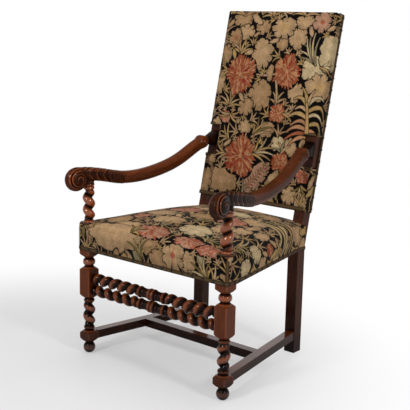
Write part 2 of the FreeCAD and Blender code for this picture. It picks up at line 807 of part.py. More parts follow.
def arm():
    thick = size("arm_thickness").value
    wide = size("arm_width").value
    leaf_wide = size("leaf_width").value
    leaf_thick = thick + 2 * size("leaf_step").value
    leaf_end = size("leaf_length").value
    sag = size("arm_sag").value
    roll = Vector(0, -size("scroll_reach").value, size("scroll_height").value)
    scroll_width = size("scroll_width").value
    line_start = Vector(0, roll.y, roll.z + scroll_radius - leaf_thick / 2)
    rise = arm_joint_height.value - support_top.value
    bow = arm_run - leaf_end
    elbow = Vector(0, arm_run - 1.45 * thick, rise - 0.1 * thick)
    line_points = [
        line_start,
        Vector(0, 0.25 * leaf_end, sag + 0.72 * (line_start.z - sag)),
        Vector(0, leaf_end, sag + 0.05 * thick),
        Vector(0, leaf_end + 0.25 * bow, sag + 0.13 * thick),
        Vector(0, leaf_end + 0.5 * bow, sag + 0.26 * (rise - sag)),
        Vector(0, leaf_end + 0.7 * bow, sag + 0.62 * (rise - sag)),
        elbow,
        Vector(0, arm_run + 0.5 * thick, rise + 0.05 * thick),
    ]
    line = Part.BSplineCurve()
    line.interpolate(line_points)

    def share_of(point):
        return (line.parameter(point) - line.FirstParameter) / (line.LastParameter - line.FirstParameter)

    leaf_share = share_of(line_points[2])
    elbow_share = share_of(elbow)
    leaf = arm_stretch(line, [
        (0, leaf_thick, leaf_wide),
        (0.5 * leaf_share, leaf_thick, leaf_wide),
        (leaf_share, leaf_thick, 0.91 * leaf_wide),
    ])
    shaft_stations = [(leaf_share * 0.8, thick, wide)]
    for step in (0.2, 0.4, 0.6, 0.8):
        shaft_stations.append((leaf_share + step * (elbow_share - leaf_share), thick, wide))
    shaft_stations += [(elbow_share, 1.1 * thick, wide), (1, 1.5 * thick, wide)]
    shaft = arm_stretch(line, shaft_stations)
    across = Vector(1, 0, 0)

    def bar_across(middle, radius, length):
        return Part.makeCylinder(radius, length, middle - across * length / 2, across)

    rolled = bar_across(roll, scroll_radius, scroll_width)
    rim = 0.12 * scroll_radius
    rolled = rolled.makeFillet(rim, [edge for edge in rolled.Edges if edge.Closed])
    eye = size("scroll_eye").value
    eye_bar = bar_across(roll, eye, scroll_width + 0.7 * eye)
    button = size("elbow_eye").value
    button_bar = bar_across(elbow, button, wide + 0.5 * button)
    pad = Part.makeCylinder(ring_radius.value, roll.z, Vector(0, 0, 0))
    blank = leaf.multiFuse([shaft, rolled, eye_bar, button_bar, pad])
    shaped = solid("arm_blank", blank, arm_placement)

    far = post_top + post_depth
    trim = prism("arm_trim", "YZ_Plane", [
        (arm_joint_y + (0 - arm_joint_height) * lean, 0),
        (arm_joint_y + far * 2, 0),
        (arm_joint_y + far * 2, far),
        (arm_joint_y + (far - arm_joint_height) * lean, far),
    ], 0, 2 * front_leg_x)
    hole = cylinder("arm_dowel_hole", at_leg(support_top - fit_gap), dowel_hole_radius, dowel_hole_depth)
    trimmed = cut("arm_trimmed", shaped, [trim, hole])
    return joined("arm_right", [trimmed, box("arm_tenon", *arm_tenon)])


# Seat upholstery: webbing, hessian, stuffing and cover

cover_thickness = size("cover_thickness")
cover_gap = size("cover_gap")
webbing_width = size("webbing_width")
webbing_thickness = size("webbing_thickness")
seat_hessian_bottom = rail_top + 2 * webbing_thickness
stuffing_bottom = seat_hessian_bottom + size("hessian_thickness")
cover_outset = cover_gap + cover_thickness
seat_front = block_front - cover_outset
seat_back = post_back + cover_outset
seat_edge = seat_block_top + cover_gap + cover_thickness


def seat_plan(outset, front, back):
    """Plan of the seat round the blocks, rails and posts, moved outwards by outset."""
    right = [
        (block_outer + outset, front),
        (block_outer + outset, block_back),
        (post_outer + outset, post_front),
        (post_outer + outset, back),
    ]
    return [(-across, y) for across, y in right[::-1]] + right


def seat_dome(inset):
    """The crowned top of the seat: arched sections across the chair, sunk a little into the sides."""
    sink = (seat_block_top - stuffing_bottom).value / 2
    inset_from_sides = inset + cover_thickness.value / 2
    front = seat_front.value + inset_from_sides
    back = seat_back.value - inset_from_sides
    edge = seat_edge.value - inset - sink
    front_half = (block_outer + cover_outset).value - inset_from_sides
    back_half = (post_outer + cover_outset).value - inset_from_sides
    crown_shares = [(0, 0.05), (0.04, 0.28), (0.14, 0.62), (0.32, 0.92), (0.5, 1), (0.76, 0.72), (1, 0.2)]
    sections = []
    for depth_share, crown_share in crown_shares:
        y = front + depth_share * (back - front)
        half = front_half + depth_share * (back_half - front_half)
        crown = Vector(0, y, edge + crown_share * (size("seat_crown").value + sink))
        left = Vector(-half, y, edge)
        right = Vector(half, y, edge)
        arch = Part.Arc(right, crown, left).toShape()
        sections.append(Part.Wire([Part.LineSegment(left, right).toShape(), arch]))
    return Part.makeLoft(sections, True, False)


def stuffed_seat(name, inset, bottom):
    """Straight sides round the frame under a crowned top, drawn in by inset."""
    plan = seat_plan(cover_outset - inset, seat_front + inset, seat_back - inset)
    sides = prism(name + "_sides", "XY_Plane", plan, bottom, seat_edge - inset - bottom)
    return joined(name, [sides, solid(name + "_dome", seat_dome(as_size(inset).value))])


def seat_clearances(name, support_gap, beside_post):
    """Room for the arm supports and the rear posts, and for what lies beside the posts."""
    gap = cover_gap
    support_room = ring_radius + support_gap
    support = cylinder(name + "_support_room", at_leg(rail_bottom), support_room, support_top - rail_bottom)
    post_room = post_width + gap + beside_post
    post = prism(name + "_post_room", "YZ_Plane", post_outline(gap), post_inner - gap, post_room)
    right_rooms = [support, post]
    return right_rooms + [mirrored(f"{room.Name}_left", room) for room in right_rooms]


def seat_webbing_long():
    straps = []
    count = 5
    step = 2 * (post_inner - webbing_width / 2) / (count - 1)
    for number in range(count):
        middle = step * number - (post_inner - webbing_width / 2)
        low = [middle - webbing_width / 2, block_front + 2 * rail_setback, rail_top]
        high = [middle + webbing_width / 2, post_back - 2 * rail_setback, rail_top + webbing_thickness]
        straps.append(box(f"long_strap_{number + 1}", low, high))
    group = doc.addObject("Part::Compound", "seat_webbing_long")
    group.Links = straps
    return group


def seat_webbing_cross():
    straps = []
    count = 5
    first = block_back + webbing_width * 0.75
    step = (post_front - webbing_width * 0.75 - first) / (count - 1)
    bottom = rail_top + webbing_thickness
    for number in range(count):
        near = first + step * number - webbing_width / 2
        far = near + webbing_width
        corners = [
            (-(rail_line(near) - rail_setback), near),
            (rail_line(near) - rail_setback, near),
            (rail_line(far) - rail_setback, far),
            (-(rail_line(far) - rail_setback), far),
        ]
        straps.append(prism(f"cross_strap_{number + 1}", "XY_Plane", corners, bottom, webbing_thickness))
    group = doc.addObject("Part::Compound", "seat_webbing_cross")
    group.Links = straps
    return group


def block_rooms(name):
    """Room for the tops of the front legs' seat blocks, out to the cover."""
    reach = leg_block
    low = [block_inner - cover_gap, block_front - reach, rail_top]
    high = [block_outer + reach, block_back + cover_gap, seat_block_top + cover_gap]
    room = box(name + "_block_room", low, high)
    return [room, mirrored(name + "_left_block_room", room)]


def seat_hessian():
    plan = seat_plan(-2 * rail_setback, block_front + 2 * rail_setback, post_back - 2 * rail_setback)
    cloth = prism("hessian_cloth", "XY_Plane", plan, seat_hessian_bottom, size("hessian_thickness"))
    rooms = block_rooms("hessian") + seat_clearances("hessian", cover_gap, post_width)
    return cut("seat_hessian", cloth, rooms)


def seat_stuffing():
    pad = stuffed_seat("seat_pad", cover_outset, stuffing_bottom)
    rooms = block_rooms("stuffing") + seat_clearances("stuffing", cover_thickness, post_width)
    return cut("seat_stuffing", pad, rooms)


def seat_cover():
    outer = stuffed_seat("seat_cover_outer", 0, seat_bottom)
    inner = stuffed_seat("seat_cover_inner", cover_thickness, seat_bottom - cover_thickness)
    return cut("seat_cover", outer, [inner] + seat_clearances("seat_cover", cover_thickness, cover_gap))


# Back upholstery, built upright and then leant with the posts

post_thickness = (post_depth * lean_cos).value
lean_angle = math.degrees(math.atan(lean.value))
back_placement = Placement(
    Vector(0, post_front.value, bend_height.value), Rotation(Vector(1, 0, 0), -lean_angle)
)
back_low = back_bottom.value
back_high = back_top.value
back_half_width = (post_outer + size("back_padding") + cover_thickness).value
back_edge = size("back_edge").value
overcut = back_edge / 5
strap = webbing_thickness.value
hessian_front = -2 * strap - size("hessian_thickness").value


def upright_box(low, high):
    return Part.makeBox(*[b - a for a, b in zip(low, high)], Vector(*low))


def back_solid(inset, rear, low, high):
    """The crowned back: sections up the back, each a box with a crowned front."""
    half = back_half_width - inset
    front = hessian_front - back_edge + inset
    crown_shares = [(0, 0.1), (0.07, 0.5), (0.25, 0.9), (0.5, 1), (0.75, 0.9), (0.93, 0.5), (1, 0.1)]
    sections = []
    for share, crown_share in crown_shares:
        z = low + share * (high - low)
        crown = Vector(0, front - crown_share * size("back_crown").value, z)
        outline = ((half, front), (half, rear), (-half, rear), (-half, front))
        corners = [Vector(x, y, z) for x, y in outline]
        lines = [Part.LineSegment(a, b).toShape() for a, b in zip(corners, corners[1:])]
        sections.append(Part.Wire(lines + [Part.Arc(corners[3], crown, corners[0]).toShape()]))
    return Part.makeLoft(sections, True, False)


def arm_rooms(name):
    """Room in the back upholstery for the ends of the arms."""
    gap = 2 * cover_gap
    half_high = size("arm_thickness") * 0.85 + gap
    half_wide = size("arm_width") * 0.62 + gap
    low = [rear_leg_x - half_wide, post_front, arm_joint_height - half_high]
    high = [rear_leg_x + half_wide, arm_joint_y + post_depth / 2, arm_joint_height + half_high]
    room = box(name + "_arm_room", low, high)
    return [room, mirrored(name + "_left_arm_room", room)]


def back_webbing():
    straps = []
    wide = webbing_width.value
    inner = post_inner.value
    upright_count = 4
    level_count = 6
    margin = 0.4 * size("back_rail_height").value
    for number in range(upright_count):
        x = (number + 0.5) / upright_count * 2 * inner - inner
        low = (x - wide / 2, -strap, back_low + margin)
        straps.append(upright_box(low, (x + wide / 2, 0, back_high - margin)))
    reach = inner + 0.4 * post_width.value
    for number in range(level_count):
        z = back_low + (number + 1) / (level_count + 1) * (back_high - back_low)
        straps.append(upright_box((-reach, -2 * strap, z - wide / 2), (reach, -strap, z + wide / 2)))
    group = solid("back_straps", Part.makeCompound(straps), back_placement)
    return cut("back_webbing", group, arm_rooms("webbing"))


def back_hessian():
    half = post_outer.value - rail_setback.value
    margin = 0.2 * size("back_rail_height").value
    cloth = upright_box((-half, hessian_front, back_low + margin), (half, -2 * strap, back_high - margin))
    return cut("back_hessian", solid("back_hessian_sheet", cloth, back_placement), arm_rooms("hessian"))


def back_stuffing():
    inset = (cover_thickness + cover_gap).value
    high = back_high + back_edge - cover_gap.value
    shape = back_solid(inset, hessian_front, back_low + cover_gap.value, high)
    return cut("back_stuffing", solid("back_pad", shape, back_placement), arm_rooms("back_pad"))


def back_cover():
    high = back_high + back_edge
    outer = back_solid(0, post_thickness, back_low, high + cover_thickness.value)
    inner = back_solid(cover_thickness.value, post_thickness + overcut, back_low - overcut, high)
    shell = solid("back_cover_shell", outer.cut(inner), back_placement)
    return cut("back_cover", shell, arm_rooms("back_cover"))


def back_lining():
    half = back_half_width - cover_thickness.value - cover_gap.value
    rear = post_thickness + size("lining_thickness").value
    cloth = upright_box((-half, post_thickness, back_low), (half, rear, back_high + back_edge))
    return solid("back_lining", cloth, back_placement)


# Braid and nails

braid_width = size("braid_width")
braid_thickness = size("braid_thickness")


def nail_shape():
    """A domed head on a short shank that goes through the braid, pointing along +Z."""
    radius = size("nail_radius").value
    rise = size("nail_rise").value
    ball = (radius * radius + rise * rise) / (2 * rise)
    dome = Part.makeSphere(ball, Vector(0, 0, rise - ball))
    head = dome.common(Part.makeCylinder(radius, rise))
    reach = braid_thickness.value
    return head.fuse(Part.makeCylinder(size("nail_shank").value, reach, Vector(0, 0, -reach)))


def shank_hole():
    deep = 2 * braid_thickness.value
    return Part.makeCylinder(size("nail_shank").value + fit_gap.value, 2 * deep, Vector(0, 0, -deep))


def nail_row(first, last, outward):
    """Placements of nails spread evenly from first to last, with their heads facing outward."""
    count = max(2, math.ceil((last - first).Length / size("nail_spacing").value) + 1)
    turn = Rotation(Vector(0, 0, 1), outward)
    return [Placement(first + (last - first) * (number / (count - 1)), turn) for number in range(count)]


def placed_copies(shape, placements):
    copies = []
    for placement in placements:
        copy = shape.copy()
        copy.Placement = placement
        copies.append(copy)
    return copies


def seat_nail_places():
    level = seat_bottom.value + braid_width.value / 2
    outset = (cover_outset + cover_gap + braid_thickness).value
    margin = braid_width.value
    front_y = block_front.value - outset
    front_half = block_outer.value + outset
    rail_side = Vector(1, -outer_splay.value, 0).normalize()
    rail_front = Vector(block_outer.value, block_back.value, level) + rail_side * outset
    rail_back = Vector(post_outer.value, post_front.value, level) + rail_side * outset
    front_left = Vector(margin - front_half, front_y, level)
    front_right = Vector(front_half - margin, front_y, level)
    front_row = nail_row(front_left, front_right, Vector(0, -1, 0))
    block_near = Vector(front_half, front_y + margin, level)
    block_far = Vector(front_half, block_back.value - margin, level)
    right_row = nail_row(block_near, block_far, Vector(1, 0, 0))
    along_rail = (rail_back - rail_front).normalize() * margin
    right_row += nail_row(rail_front + along_rail, rail_back - along_rail, rail_side)
    left_row = []
    for spot in right_row:
        outward = spot.Rotation.multVec(Vector(0, 0, 1))
        turn = Rotation(Vector(0, 0, 1), Vector(-outward.x, outward.y, 0))
        left_row.append(Placement(Vector(-spot.Base.x, spot.Base.y, spot.Base.z), turn))
    return front_row + right_row + left_row


def seat_braid():
    outset = cover_outset + cover_gap
    outer_plan = seat_plan(outset + braid_thickness, seat_front - cover_gap - braid_thickness, post_back)
    inner_plan = seat_plan(outset, seat_front - cover_gap, post_back + braid_width)
    outer = prism("seat_braid_outer", "XY_Plane", outer_plan, seat_bottom, braid_width)
    inner = prism("seat_braid_inner", "XY_Plane", inner_plan, seat_bottom - braid_width, 3 * braid_width)
    holes = solid("seat_braid_holes", Part.makeCompound(placed_copies(shank_hole(), seat_nail_places())))
    return cut("seat_braid", outer, [inner, holes])


def seat_nails():
    return solid("seat_nails", Part.makeCompound(placed_copies(nail_shape(), seat_nail_places())))


def back_braid_level():
    """Depth of the middle of the braid on the sides and the top of the back."""
    return post_thickness - braid_width.value / 2


def back_nail_places():
    out = cover_gap.value + braid_thickness.value
    side = back_half_width + out
    top = back_high + back_edge + cover_thickness.value + out
    depth = back_braid_level()
    margin = braid_width.value
    places = []
    for sign in (1, -1):
        low = Vector(sign * side, depth, back_low + margin)
        high = Vector(sign * side, depth, top - out - margin)
        places += nail_row(low, high, Vector(sign, 0, 0))
    half = side - out - margin
    return places + nail_row(Vector(-half, depth, top), Vector(half, depth, top), Vector(0, 0, 1))


def back_braid():
    gap = cover_gap.value
    thick = braid_thickness.value
    wide = braid_width.value
    half = back_half_width + gap
    top = back_high + back_edge + cover_thickness.value + gap
    near = back_braid_level() - wide / 2
    outer = upright_box((-half - thick, near, back_low), (half + thick, near + wide, top + thick))
    hollow = upright_box((-half, near - overcut, back_low - overcut), (half, near + wide + overcut, top))
    hoop = outer.cut(hollow)
    outside = back_solid(-gap - thick, 0, back_low, top)
    strip_box = upright_box((-half, outside.BoundBox.YMin, back_low), (half, hessian_front, back_low + wide))
    strip = outside.cut(back_solid(-gap, overcut, back_low, top)).common(strip_box)
    holes = placed_copies(shank_hole(), back_nail_places())
    return solid("back_braid", Part.makeCompound([hoop.cut(Part.makeCompound(holes)), strip]), back_placement)


def back_nails():
    nails = Part.makeCompound(placed_copies(nail_shape(), back_nail_places()))
    return solid("back_nails", nails, back_placement)


# The chair

pairs = [
    ("front_leg_left", front_leg()),
    ("rear_leg_left", rear_leg()),
    ("side_stretcher_left", side_stretcher()),
    ("seat_rail_left", side_rail()),
    ("arm_left", arm()),
]
nodes = [right for _, right in pairs] + [mirrored(name, right) for name, right in pairs]
nodes += [
    twist_stretcher("upper", -1),
    twist_stretcher("lower", 1),
    cross_stretcher(),
    front_rail(),
    rear_rail(),
    seat_rail_pegs(),
    back_rail("back_rail_top"),
    back_rail("back_rail_bottom"),
    seat_webbing_long(),
    seat_webbing_cross(),
    seat_hessian(),
    seat_stuffing(),
    seat_cover(),
    seat_braid(),
    seat_nails(),
    back_webbing(),
    back_hessian(),
    back_stuffing(),
    back_cover(),
    back_lining(),
    back_braid(),
    back_nails(),
]
doc.recompute()

# Checks, then the files

for item in doc.Objects:
    if {"Invalid", "Error"} & set(item.State):
        raise RuntimeError(f"{item.Label} did not build: {item.State}")
for node in nodes:
    if node.Shape.isNull() or not node.Shape.isValid():
        raise RuntimeError(f"{node.Label} has no valid shape")

os.makedirs("parts", exist_ok=True)
for node in nodes:
    node.Shape.exportStep(f"parts/{node.Label}.step")
    print(node.Label, len(node.Shape.Solids), "solids", round(node.Shape.Volume / 1000, 1), "cm3")
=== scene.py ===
import math

import bpy
import numpy as np
from mathutils import Matrix, Vector


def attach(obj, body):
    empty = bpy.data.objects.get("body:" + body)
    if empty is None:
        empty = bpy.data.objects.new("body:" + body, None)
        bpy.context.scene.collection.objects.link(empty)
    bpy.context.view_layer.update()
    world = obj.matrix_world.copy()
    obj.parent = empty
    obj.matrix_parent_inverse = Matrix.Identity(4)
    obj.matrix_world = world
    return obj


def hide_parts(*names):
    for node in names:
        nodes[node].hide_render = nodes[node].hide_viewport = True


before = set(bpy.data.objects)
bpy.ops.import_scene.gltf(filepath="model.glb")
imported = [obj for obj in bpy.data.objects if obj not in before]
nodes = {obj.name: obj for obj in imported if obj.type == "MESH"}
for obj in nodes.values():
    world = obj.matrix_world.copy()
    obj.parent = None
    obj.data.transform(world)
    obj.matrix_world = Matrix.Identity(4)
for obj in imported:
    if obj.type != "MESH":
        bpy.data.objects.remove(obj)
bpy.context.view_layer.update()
scene = bpy.context.scene

# Sizes of the chair, in millimetres, as the solids have them

MM = 0.001
LEG_X, LEG_Y = 292.0, -296.0
POST_X, POST_FRONT, POST_HALF = 208.0, 173.0, 20.0
BEND, LEAN = 372.0, 175.0 / 775.0
LEAN_COS = 1 / math.sqrt(1 + LEAN * LEAN)
LEAN_SIN = LEAN * LEAN_COS
SUPPORT_TOP = 576.0
TWIST_HEIGHTS = (264.5, 224.5)
SEAT_FRONT, SEAT_BACK = -321.3, 215.8
BLOCK_BACK = -273.5
SEAT_HALF_FRONT, SEAT_HALF_BACK = 317.3, 230.8
SEAT_BOTTOM, SEAT_EDGE, SEAT_CROWN = 362.0, 452.8, 39.0
RAIL_TOP = 442.0
BACK_HALF, BACK_LOW, BACK_TOP = 231.5, 124.0, 801.0
BACK_FRONT, BACK_CROWN, BACK_REAR = -8.2, 16.0, 39.0
ARM_JOINT = 692.5
SIDES = (("right", 1), ("left", -1))


def smooth(low, high, value):
    share = np.clip((value - low) / (high - low), 0, 1)
    return share * share * (3 - 2 * share)


def eased(knots):
    """Finer knots on a smooth line near the given ones."""
    knots = np.array(knots, float)
    for _ in range(3):
        finer = np.empty((2 * len(knots) - 1, 2))
        finer[0::2] = knots
        finer[1::2] = (knots[:-1] + knots[1:]) / 2
        finer[1:-1] = (finer[:-2] + 2 * finer[1:-1] + finer[2:]) / 4
        knots = finer
    return knots.T


def bent(start, bend, end, share):
    """Places on a curve that leaves its start towards the bend and comes to its end from there."""
    return (1 - share) ** 2 * start + 2 * share * (1 - share) * bend + share ** 2 * end


# Meshes


def mesh_object(name, points, faces, body="root"):
    """A smooth mesh piece from points in millimetres."""
    mesh = bpy.data.meshes.new(name)
    mesh.from_pydata((np.asarray(points) * MM).tolist(), [], np.asarray(faces).tolist())
    mesh.shade_smooth()
    piece = bpy.data.objects.new(name, mesh)
    scene.collection.objects.link(piece)
    if body:
        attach(piece, body)
    return piece


def mesh_points(piece):
    """The mesh's points in millimetres."""
    flat = np.empty(len(piece.data.vertices) * 3, np.float32)
    piece.data.vertices.foreach_get("co", flat)
    return flat.reshape(-1, 3).astype(float) / MM


def move_points(piece, points):
    piece.data.vertices.foreach_set("co", (points * MM).astype(np.float32).ravel())
    piece.data.update()


def paint_number(piece, name, values):
    layer = piece.data.attributes.new(name, "FLOAT", "POINT")
    layer.data.foreach_set("value", np.asarray(values, np.float32))


def paint_vector(piece, name, values):
    layer = piece.data.attributes.new(name, "FLOAT_VECTOR", "POINT")
    layer.data.foreach_set("vector", np.asarray(values, np.float32).ravel())


def paint_colour(piece, name, colours):
    layer = piece.data.color_attributes.new(name, "FLOAT_COLOR", "POINT")
    layer.data.foreach_set("color", np.c_[colours, np.ones(len(colours))].astype(np.float32).ravel())


def grid_quads(rows, columns):
    """Quads over rows of points that are numbered row by row."""
    number = np.arange(rows * columns).reshape(rows, columns)
    first, last = number[:-1], number[1:]
    return np.stack([first[:, :-1], last[:, :-1], last[:, 1:], first[:, 1:]], -1).reshape(-1, 4)


def surface_of(field, low, step):
    """Quads on the zero surface of a field on a grid: one point in each cell that it crosses."""
    inside = field < 0
    cells = tuple(count - 1 for count in field.shape)
    filled = np.zeros(cells, np.int8)
    for offset in np.ndindex(2, 2, 2):
        filled += inside[tuple(slice(start, start + count) for start, count in zip(offset, cells))]
    crossed = (filled > 0) & (filled < 8)
    index = np.full(cells, -1)
    index[crossed] = np.arange(crossed.sum())
    corner = np.argwhere(crossed)
    total = np.zeros((len(corner), 3))
    hits = np.zeros(len(corner))
    for axis in range(3):
        side, other = (axis + 1) % 3, (axis + 2) % 3
        for shift in np.ndindex(2, 2):
            start = corner.copy()
            start[:, side] += shift[0]
            start[:, other] += shift[1]
            end = start.copy()
            end[:, axis] += 1
            near, far = field[tuple(start.T)], field[tuple(end.T)]
            cut = (near < 0) != (far < 0)
            spot = start[cut].astype(float)
            spot[:, axis] += near[cut] / (near[cut] - far[cut])
            total[cut] += spot
            hits[cut] += 1
    points = np.asarray(low) + step * total / hits[:, None]
    quads = []
    for axis in range(3):
        side, other = (axis + 1) % 3, (axis + 2) % 3
        near = np.take(inside, range(field.shape[axis] - 1), axis)
        far = np.take(inside, range(1, field.shape[axis]), axis)
        edges = np.argwhere(near != far)
        within = (edges[:, side] > 0) & (edges[:, side] < cells[side])
        within &= (edges[:, other] > 0) & (edges[:, other] < cells[other])
        edges = edges[within]
        ring = []
        for first, second in ((-1, -1), (0, -1), (0, 0), (-1, 0)):
            cell = edges.copy()
            cell[:, side] += first
            cell[:, other] += second
            ring.append(index[tuple(cell.T)])
        quad = np.stack(ring, 1)
        inward = ~near[tuple(edges.T)]
        quad[inward] = quad[inward][:, ::-1]
        quads.append(quad)
    return points, np.concatenate(quads)


def grid_of(low, high, step):
    """The three coordinates of a grid, each an array that spreads along its own axis."""
    x, y, z = (np.arange(start, end + step, step) for start, end in zip(low, high))
    return x[:, None, None], y[None, :, None], z[None, None, :]


def rounded_max(first, second, radius):
    """The larger of two distances, with the edge between them rounded."""
    outside = np.hypot(np.maximum(first + radius, 0), np.maximum(second + radius, 0))
    return np.minimum(np.maximum(first, second), -radius) + outside


def blended_min(first, second, radius):
    """The smaller of two distances, with a fillet where they meet."""
    share = np.clip(0.5 + 0.5 * (second - first) / radius, 0, 1)
    return second + (first - second) * share - radius * share * (1 - share)


def hollow_at(field, points, low, step, reach):
    """How deep in a hollow each point lies: 0 on a crest, 0.5 on a plain face and 1 in a groove."""
    share = (field < 0).astype(np.float32)
    width = 2 * reach + 1
    for axis in range(3):
        margins = [(reach + 1, reach) if number == axis else (0, 0) for number in range(3)]
        total = np.cumsum(np.pad(share, margins, "edge"), axis)
        count = share.shape[axis]
        ahead = np.take(total, range(width, width + count), axis)
        share = (ahead - np.take(total, range(count), axis)) / width
    place = np.clip((points - np.asarray(low)) / step, 0, np.array(field.shape) - 1.001)
    corner = place.astype(int)
    beyond = place - corner
    found = np.zeros(len(points))
    for offset in np.ndindex(2, 2, 2):
        weight = np.prod(np.where(offset, beyond, 1 - beyond), axis=1)
        found += weight * share[tuple((corner + offset).T)]
    return found


# Shaders


class Value:
    """A number or vector in a material; arithmetic on numbers adds Math nodes."""

    def __init__(self, shader, output):
        self.shader = shader
        self.output = output

    def math(self, operation, other=None):
        inputs = {0: self} if other is None else {0: self, 1: other}
        return self.shader.node("Math", inputs, operation=operation)

    def __add__(self, other):
        return self.math("ADD", other)

    __radd__ = __add__

    def __mul__(self, other):
        return self.math("MULTIPLY", other)

    __rmul__ = __mul__

    def __sub__(self, other):
        return self.math("SUBTRACT", other)

    def __rsub__(self, other):
        return self.shader.node("Math", {0: other, 1: self}, operation="SUBTRACT")

    def __abs__(self):
        return self.math("ABSOLUTE")

    def at_most(self, other):
        return self.math("MINIMUM", other)

    def between(self, low, high):
        """0 below low, 1 above high and a smooth rise between them."""
        span = {"Value": self, "From Min": low, "From Max": high}
        return self.shader.node("MapRange", span, interpolation_type="SMOOTHSTEP")

    def times(self, scale):
        return self.shader.node("VectorMath", {0: self, 1: scale}, operation="MULTIPLY")

    def parts(self):
        return [self.shader.node("SeparateXYZ", {0: self}, output) for output in range(3)]


def distance(first, second):
    """Length of the way whose two legs are given."""
    return (first * first + second * second).math("SQRT")


class Shader:
    """A material with a principled surface."""

    def __init__(self, name, **constants):
        self.material = bpy.data.materials.new(name)
        self.material.use_nodes = True
        self.tree = self.material.node_tree
        self.surface = self.tree.nodes["Principled BSDF"]
        self.give(**constants)

    def node(self, kind, inputs=(), output=0, **settings):
        made = self.tree.nodes.new("ShaderNode" + kind)
        for name, value in settings.items():
            setattr(made, name, value)
        for socket, value in dict(inputs).items():
            self.feed(made.inputs[socket], value)
        return Value(self, made.outputs[output])

    def feed(self, socket, value):
        if isinstance(value, Value):
            self.tree.links.new(value.output, socket)
        else:
            socket.default_value = value

    def give(self, **sockets):
        """Feeds the surface: coat_weight is its Coat Weight, and so on."""
        for name, value in sockets.items():
            socket = name.replace("_", " ").title().replace("Ior", "IOR")
            self.feed(self.surface.inputs[socket], value)

    def place(self):
        return self.node("TexCoord", output="Object")

    def attribute(self, name, output):
        return self.node("Attribute", output=output, attribute_name=name)

    def noise(self, vector, scale, detail, roughness=0.5):
        inputs = {"Vector": vector, "Scale": scale, "Detail": detail, "Roughness": roughness}
        return self.node("TexNoise", inputs)

    def mix(self, factor, first, second, blend="MIX"):
        return self.node("Mix", {0: factor, 6: first, 7: second}, 2, data_type="RGBA", blend_type=blend)

    def bump(self, height, strength, distance):
        return self.node("Bump", {"Height": height, "Strength": strength, "Distance": distance})


def tone(red, green, blue):
    """A colour written as it looks on a screen, 0 to 255."""
    return tuple((part / 255) ** 2.2 for part in (red, green, blue)) + (1.0,)


# Walnut; the places and distances in its functions are in metres

# The first tone is the darkest, for grime and for shade painted into hollows
GRIME_AND_SHADE, DEEP_WALNUT = tone(11, 7, 6), tone(46, 23, 13)
WALNUT, WARM_WALNUT = tone(86, 45, 25), tone(146, 74, 34)
GRAIN_AXES = {"x": (0.09, 1, 1), "y": (1, 0.09, 1), "z": (1, 1, 0.09)}


def walnut(name, axis, wear_and_shade=None, darkening=0.0, wax=0.09, shine=0.8):
    """Waxed old walnut with its grain along an axis; the wear function gives where it is rubbed, and where
    grime and painted shade darken it.
    """
    shader = Shader(name, coat_roughness=0.1, specular_ior_level=0.05)
    place = shader.place()
    along = place.times(GRAIN_AXES[axis])
    streak = shader.noise(along, scale=170, detail=4, roughness=0.6)
    pore = shader.noise(along, scale=950, detail=3, roughness=0.6)
    patch = shader.noise(place, scale=11, detail=3)
    if wear_and_shade is None:
        rubbed, grime_and_shade = patch.between(0.45, 0.75) * 0.3, 0.0
    else:
        rubbed, grime_and_shade = wear_and_shade(shader, place)
    colour = shader.mix(streak.between(0.28, 0.74), DEEP_WALNUT, WALNUT)
    colour = shader.mix((rubbed * (patch * 0.9 + 0.3)).at_most(1.0), colour, WARM_WALNUT)
    colour = shader.mix(pore.between(0.52, 0.7) * 0.3, colour, DEEP_WALNUT)
    # Darker towards the floor, most of all on the feet; darker overall by the given darkening, three times as
    # much above the seat, which on the rear posts is painted shade by the arms and back
    height = place.parts()[2]
    low = 1.6 - height.between(0.0, 0.3) - height.between(0.03, 0.08) * 0.6
    dirt_and_shade = patch.between(0.35, 0.65) * 0.22 + low * 0.42 + height.between(0.4, 0.6) * darkening * 2 + darkening
    colour = shader.mix((dirt_and_shade + grime_and_shade).at_most(0.94), colour, GRIME_AND_SHADE)
    gloss = 0.3 - rubbed * 0.08 + pore * 0.1
    polish = rubbed * rubbed * shine + wax
    shader.give(base_color=colour, roughness=gloss, coat_weight=polish)
    shader.give(normal=shader.bump(pore + streak * 0.6, strength=0.14, distance=0.0005))
    return shader.material


# Distances from the axis of turned wood over which its wear and painted shade change, and the heights where
# arm supports begin
CREST, HOLLOW = (0.0165, 0.0215), (0.012, 0.0196)
BLOCK, BLOCK_CORNER = (0.0212, 0.0222), (0.0275, 0.031)
ARM_SUPPORT, SUPPORT_SLIMMER = (0.44, 0.46), 0.003


def turned(radius):
    """Wear and painted shade on turned wood by the distance from its axis: warm rubbed crests, and hollows
    painted dark as shade and grime.
    """
    return radius.between(*CREST), 1 - radius.between(*HOLLOW)


def round_a_leg(shader, place):
    """Wear on a front leg: crests of its twists and beads, and the edges of its blocks; its hollows are
    painted dark as shade.
    """
    x, y, z = place.parts()
    radius = distance(abs(x) - LEG_X * MM, y - LEG_Y * MM)
    rubbed, grime_and_shade = turned(radius + z.between(*ARM_SUPPORT) * SUPPORT_SLIMMER)
    on_block = rubbed * (1 - radius.between(*BLOCK) * 0.75)
    return on_block + radius.between(*BLOCK_CORNER) * 0.3, grime_and_shade


def round_a_stretcher(shader, place):
    """Wear on the two twisted stretchers, by the distance from the nearer axis; their hollows are painted
    dark as shade.
    """
    _, y, z = place.parts()
    upper, lower = (abs(z - height * MM) for height in TWIST_HEIGHTS)
    return turned(distance(y - LEG_Y * MM, upper.at_most(lower)))


def foot_worn(shader, place):
    """Wear on a low stretcher: its top is rubbed by feet."""
    upward = shader.node("NewGeometry", output="Normal").parts()[2]
    return upward.between(0.7, 0.9) * 0.9, 0.12


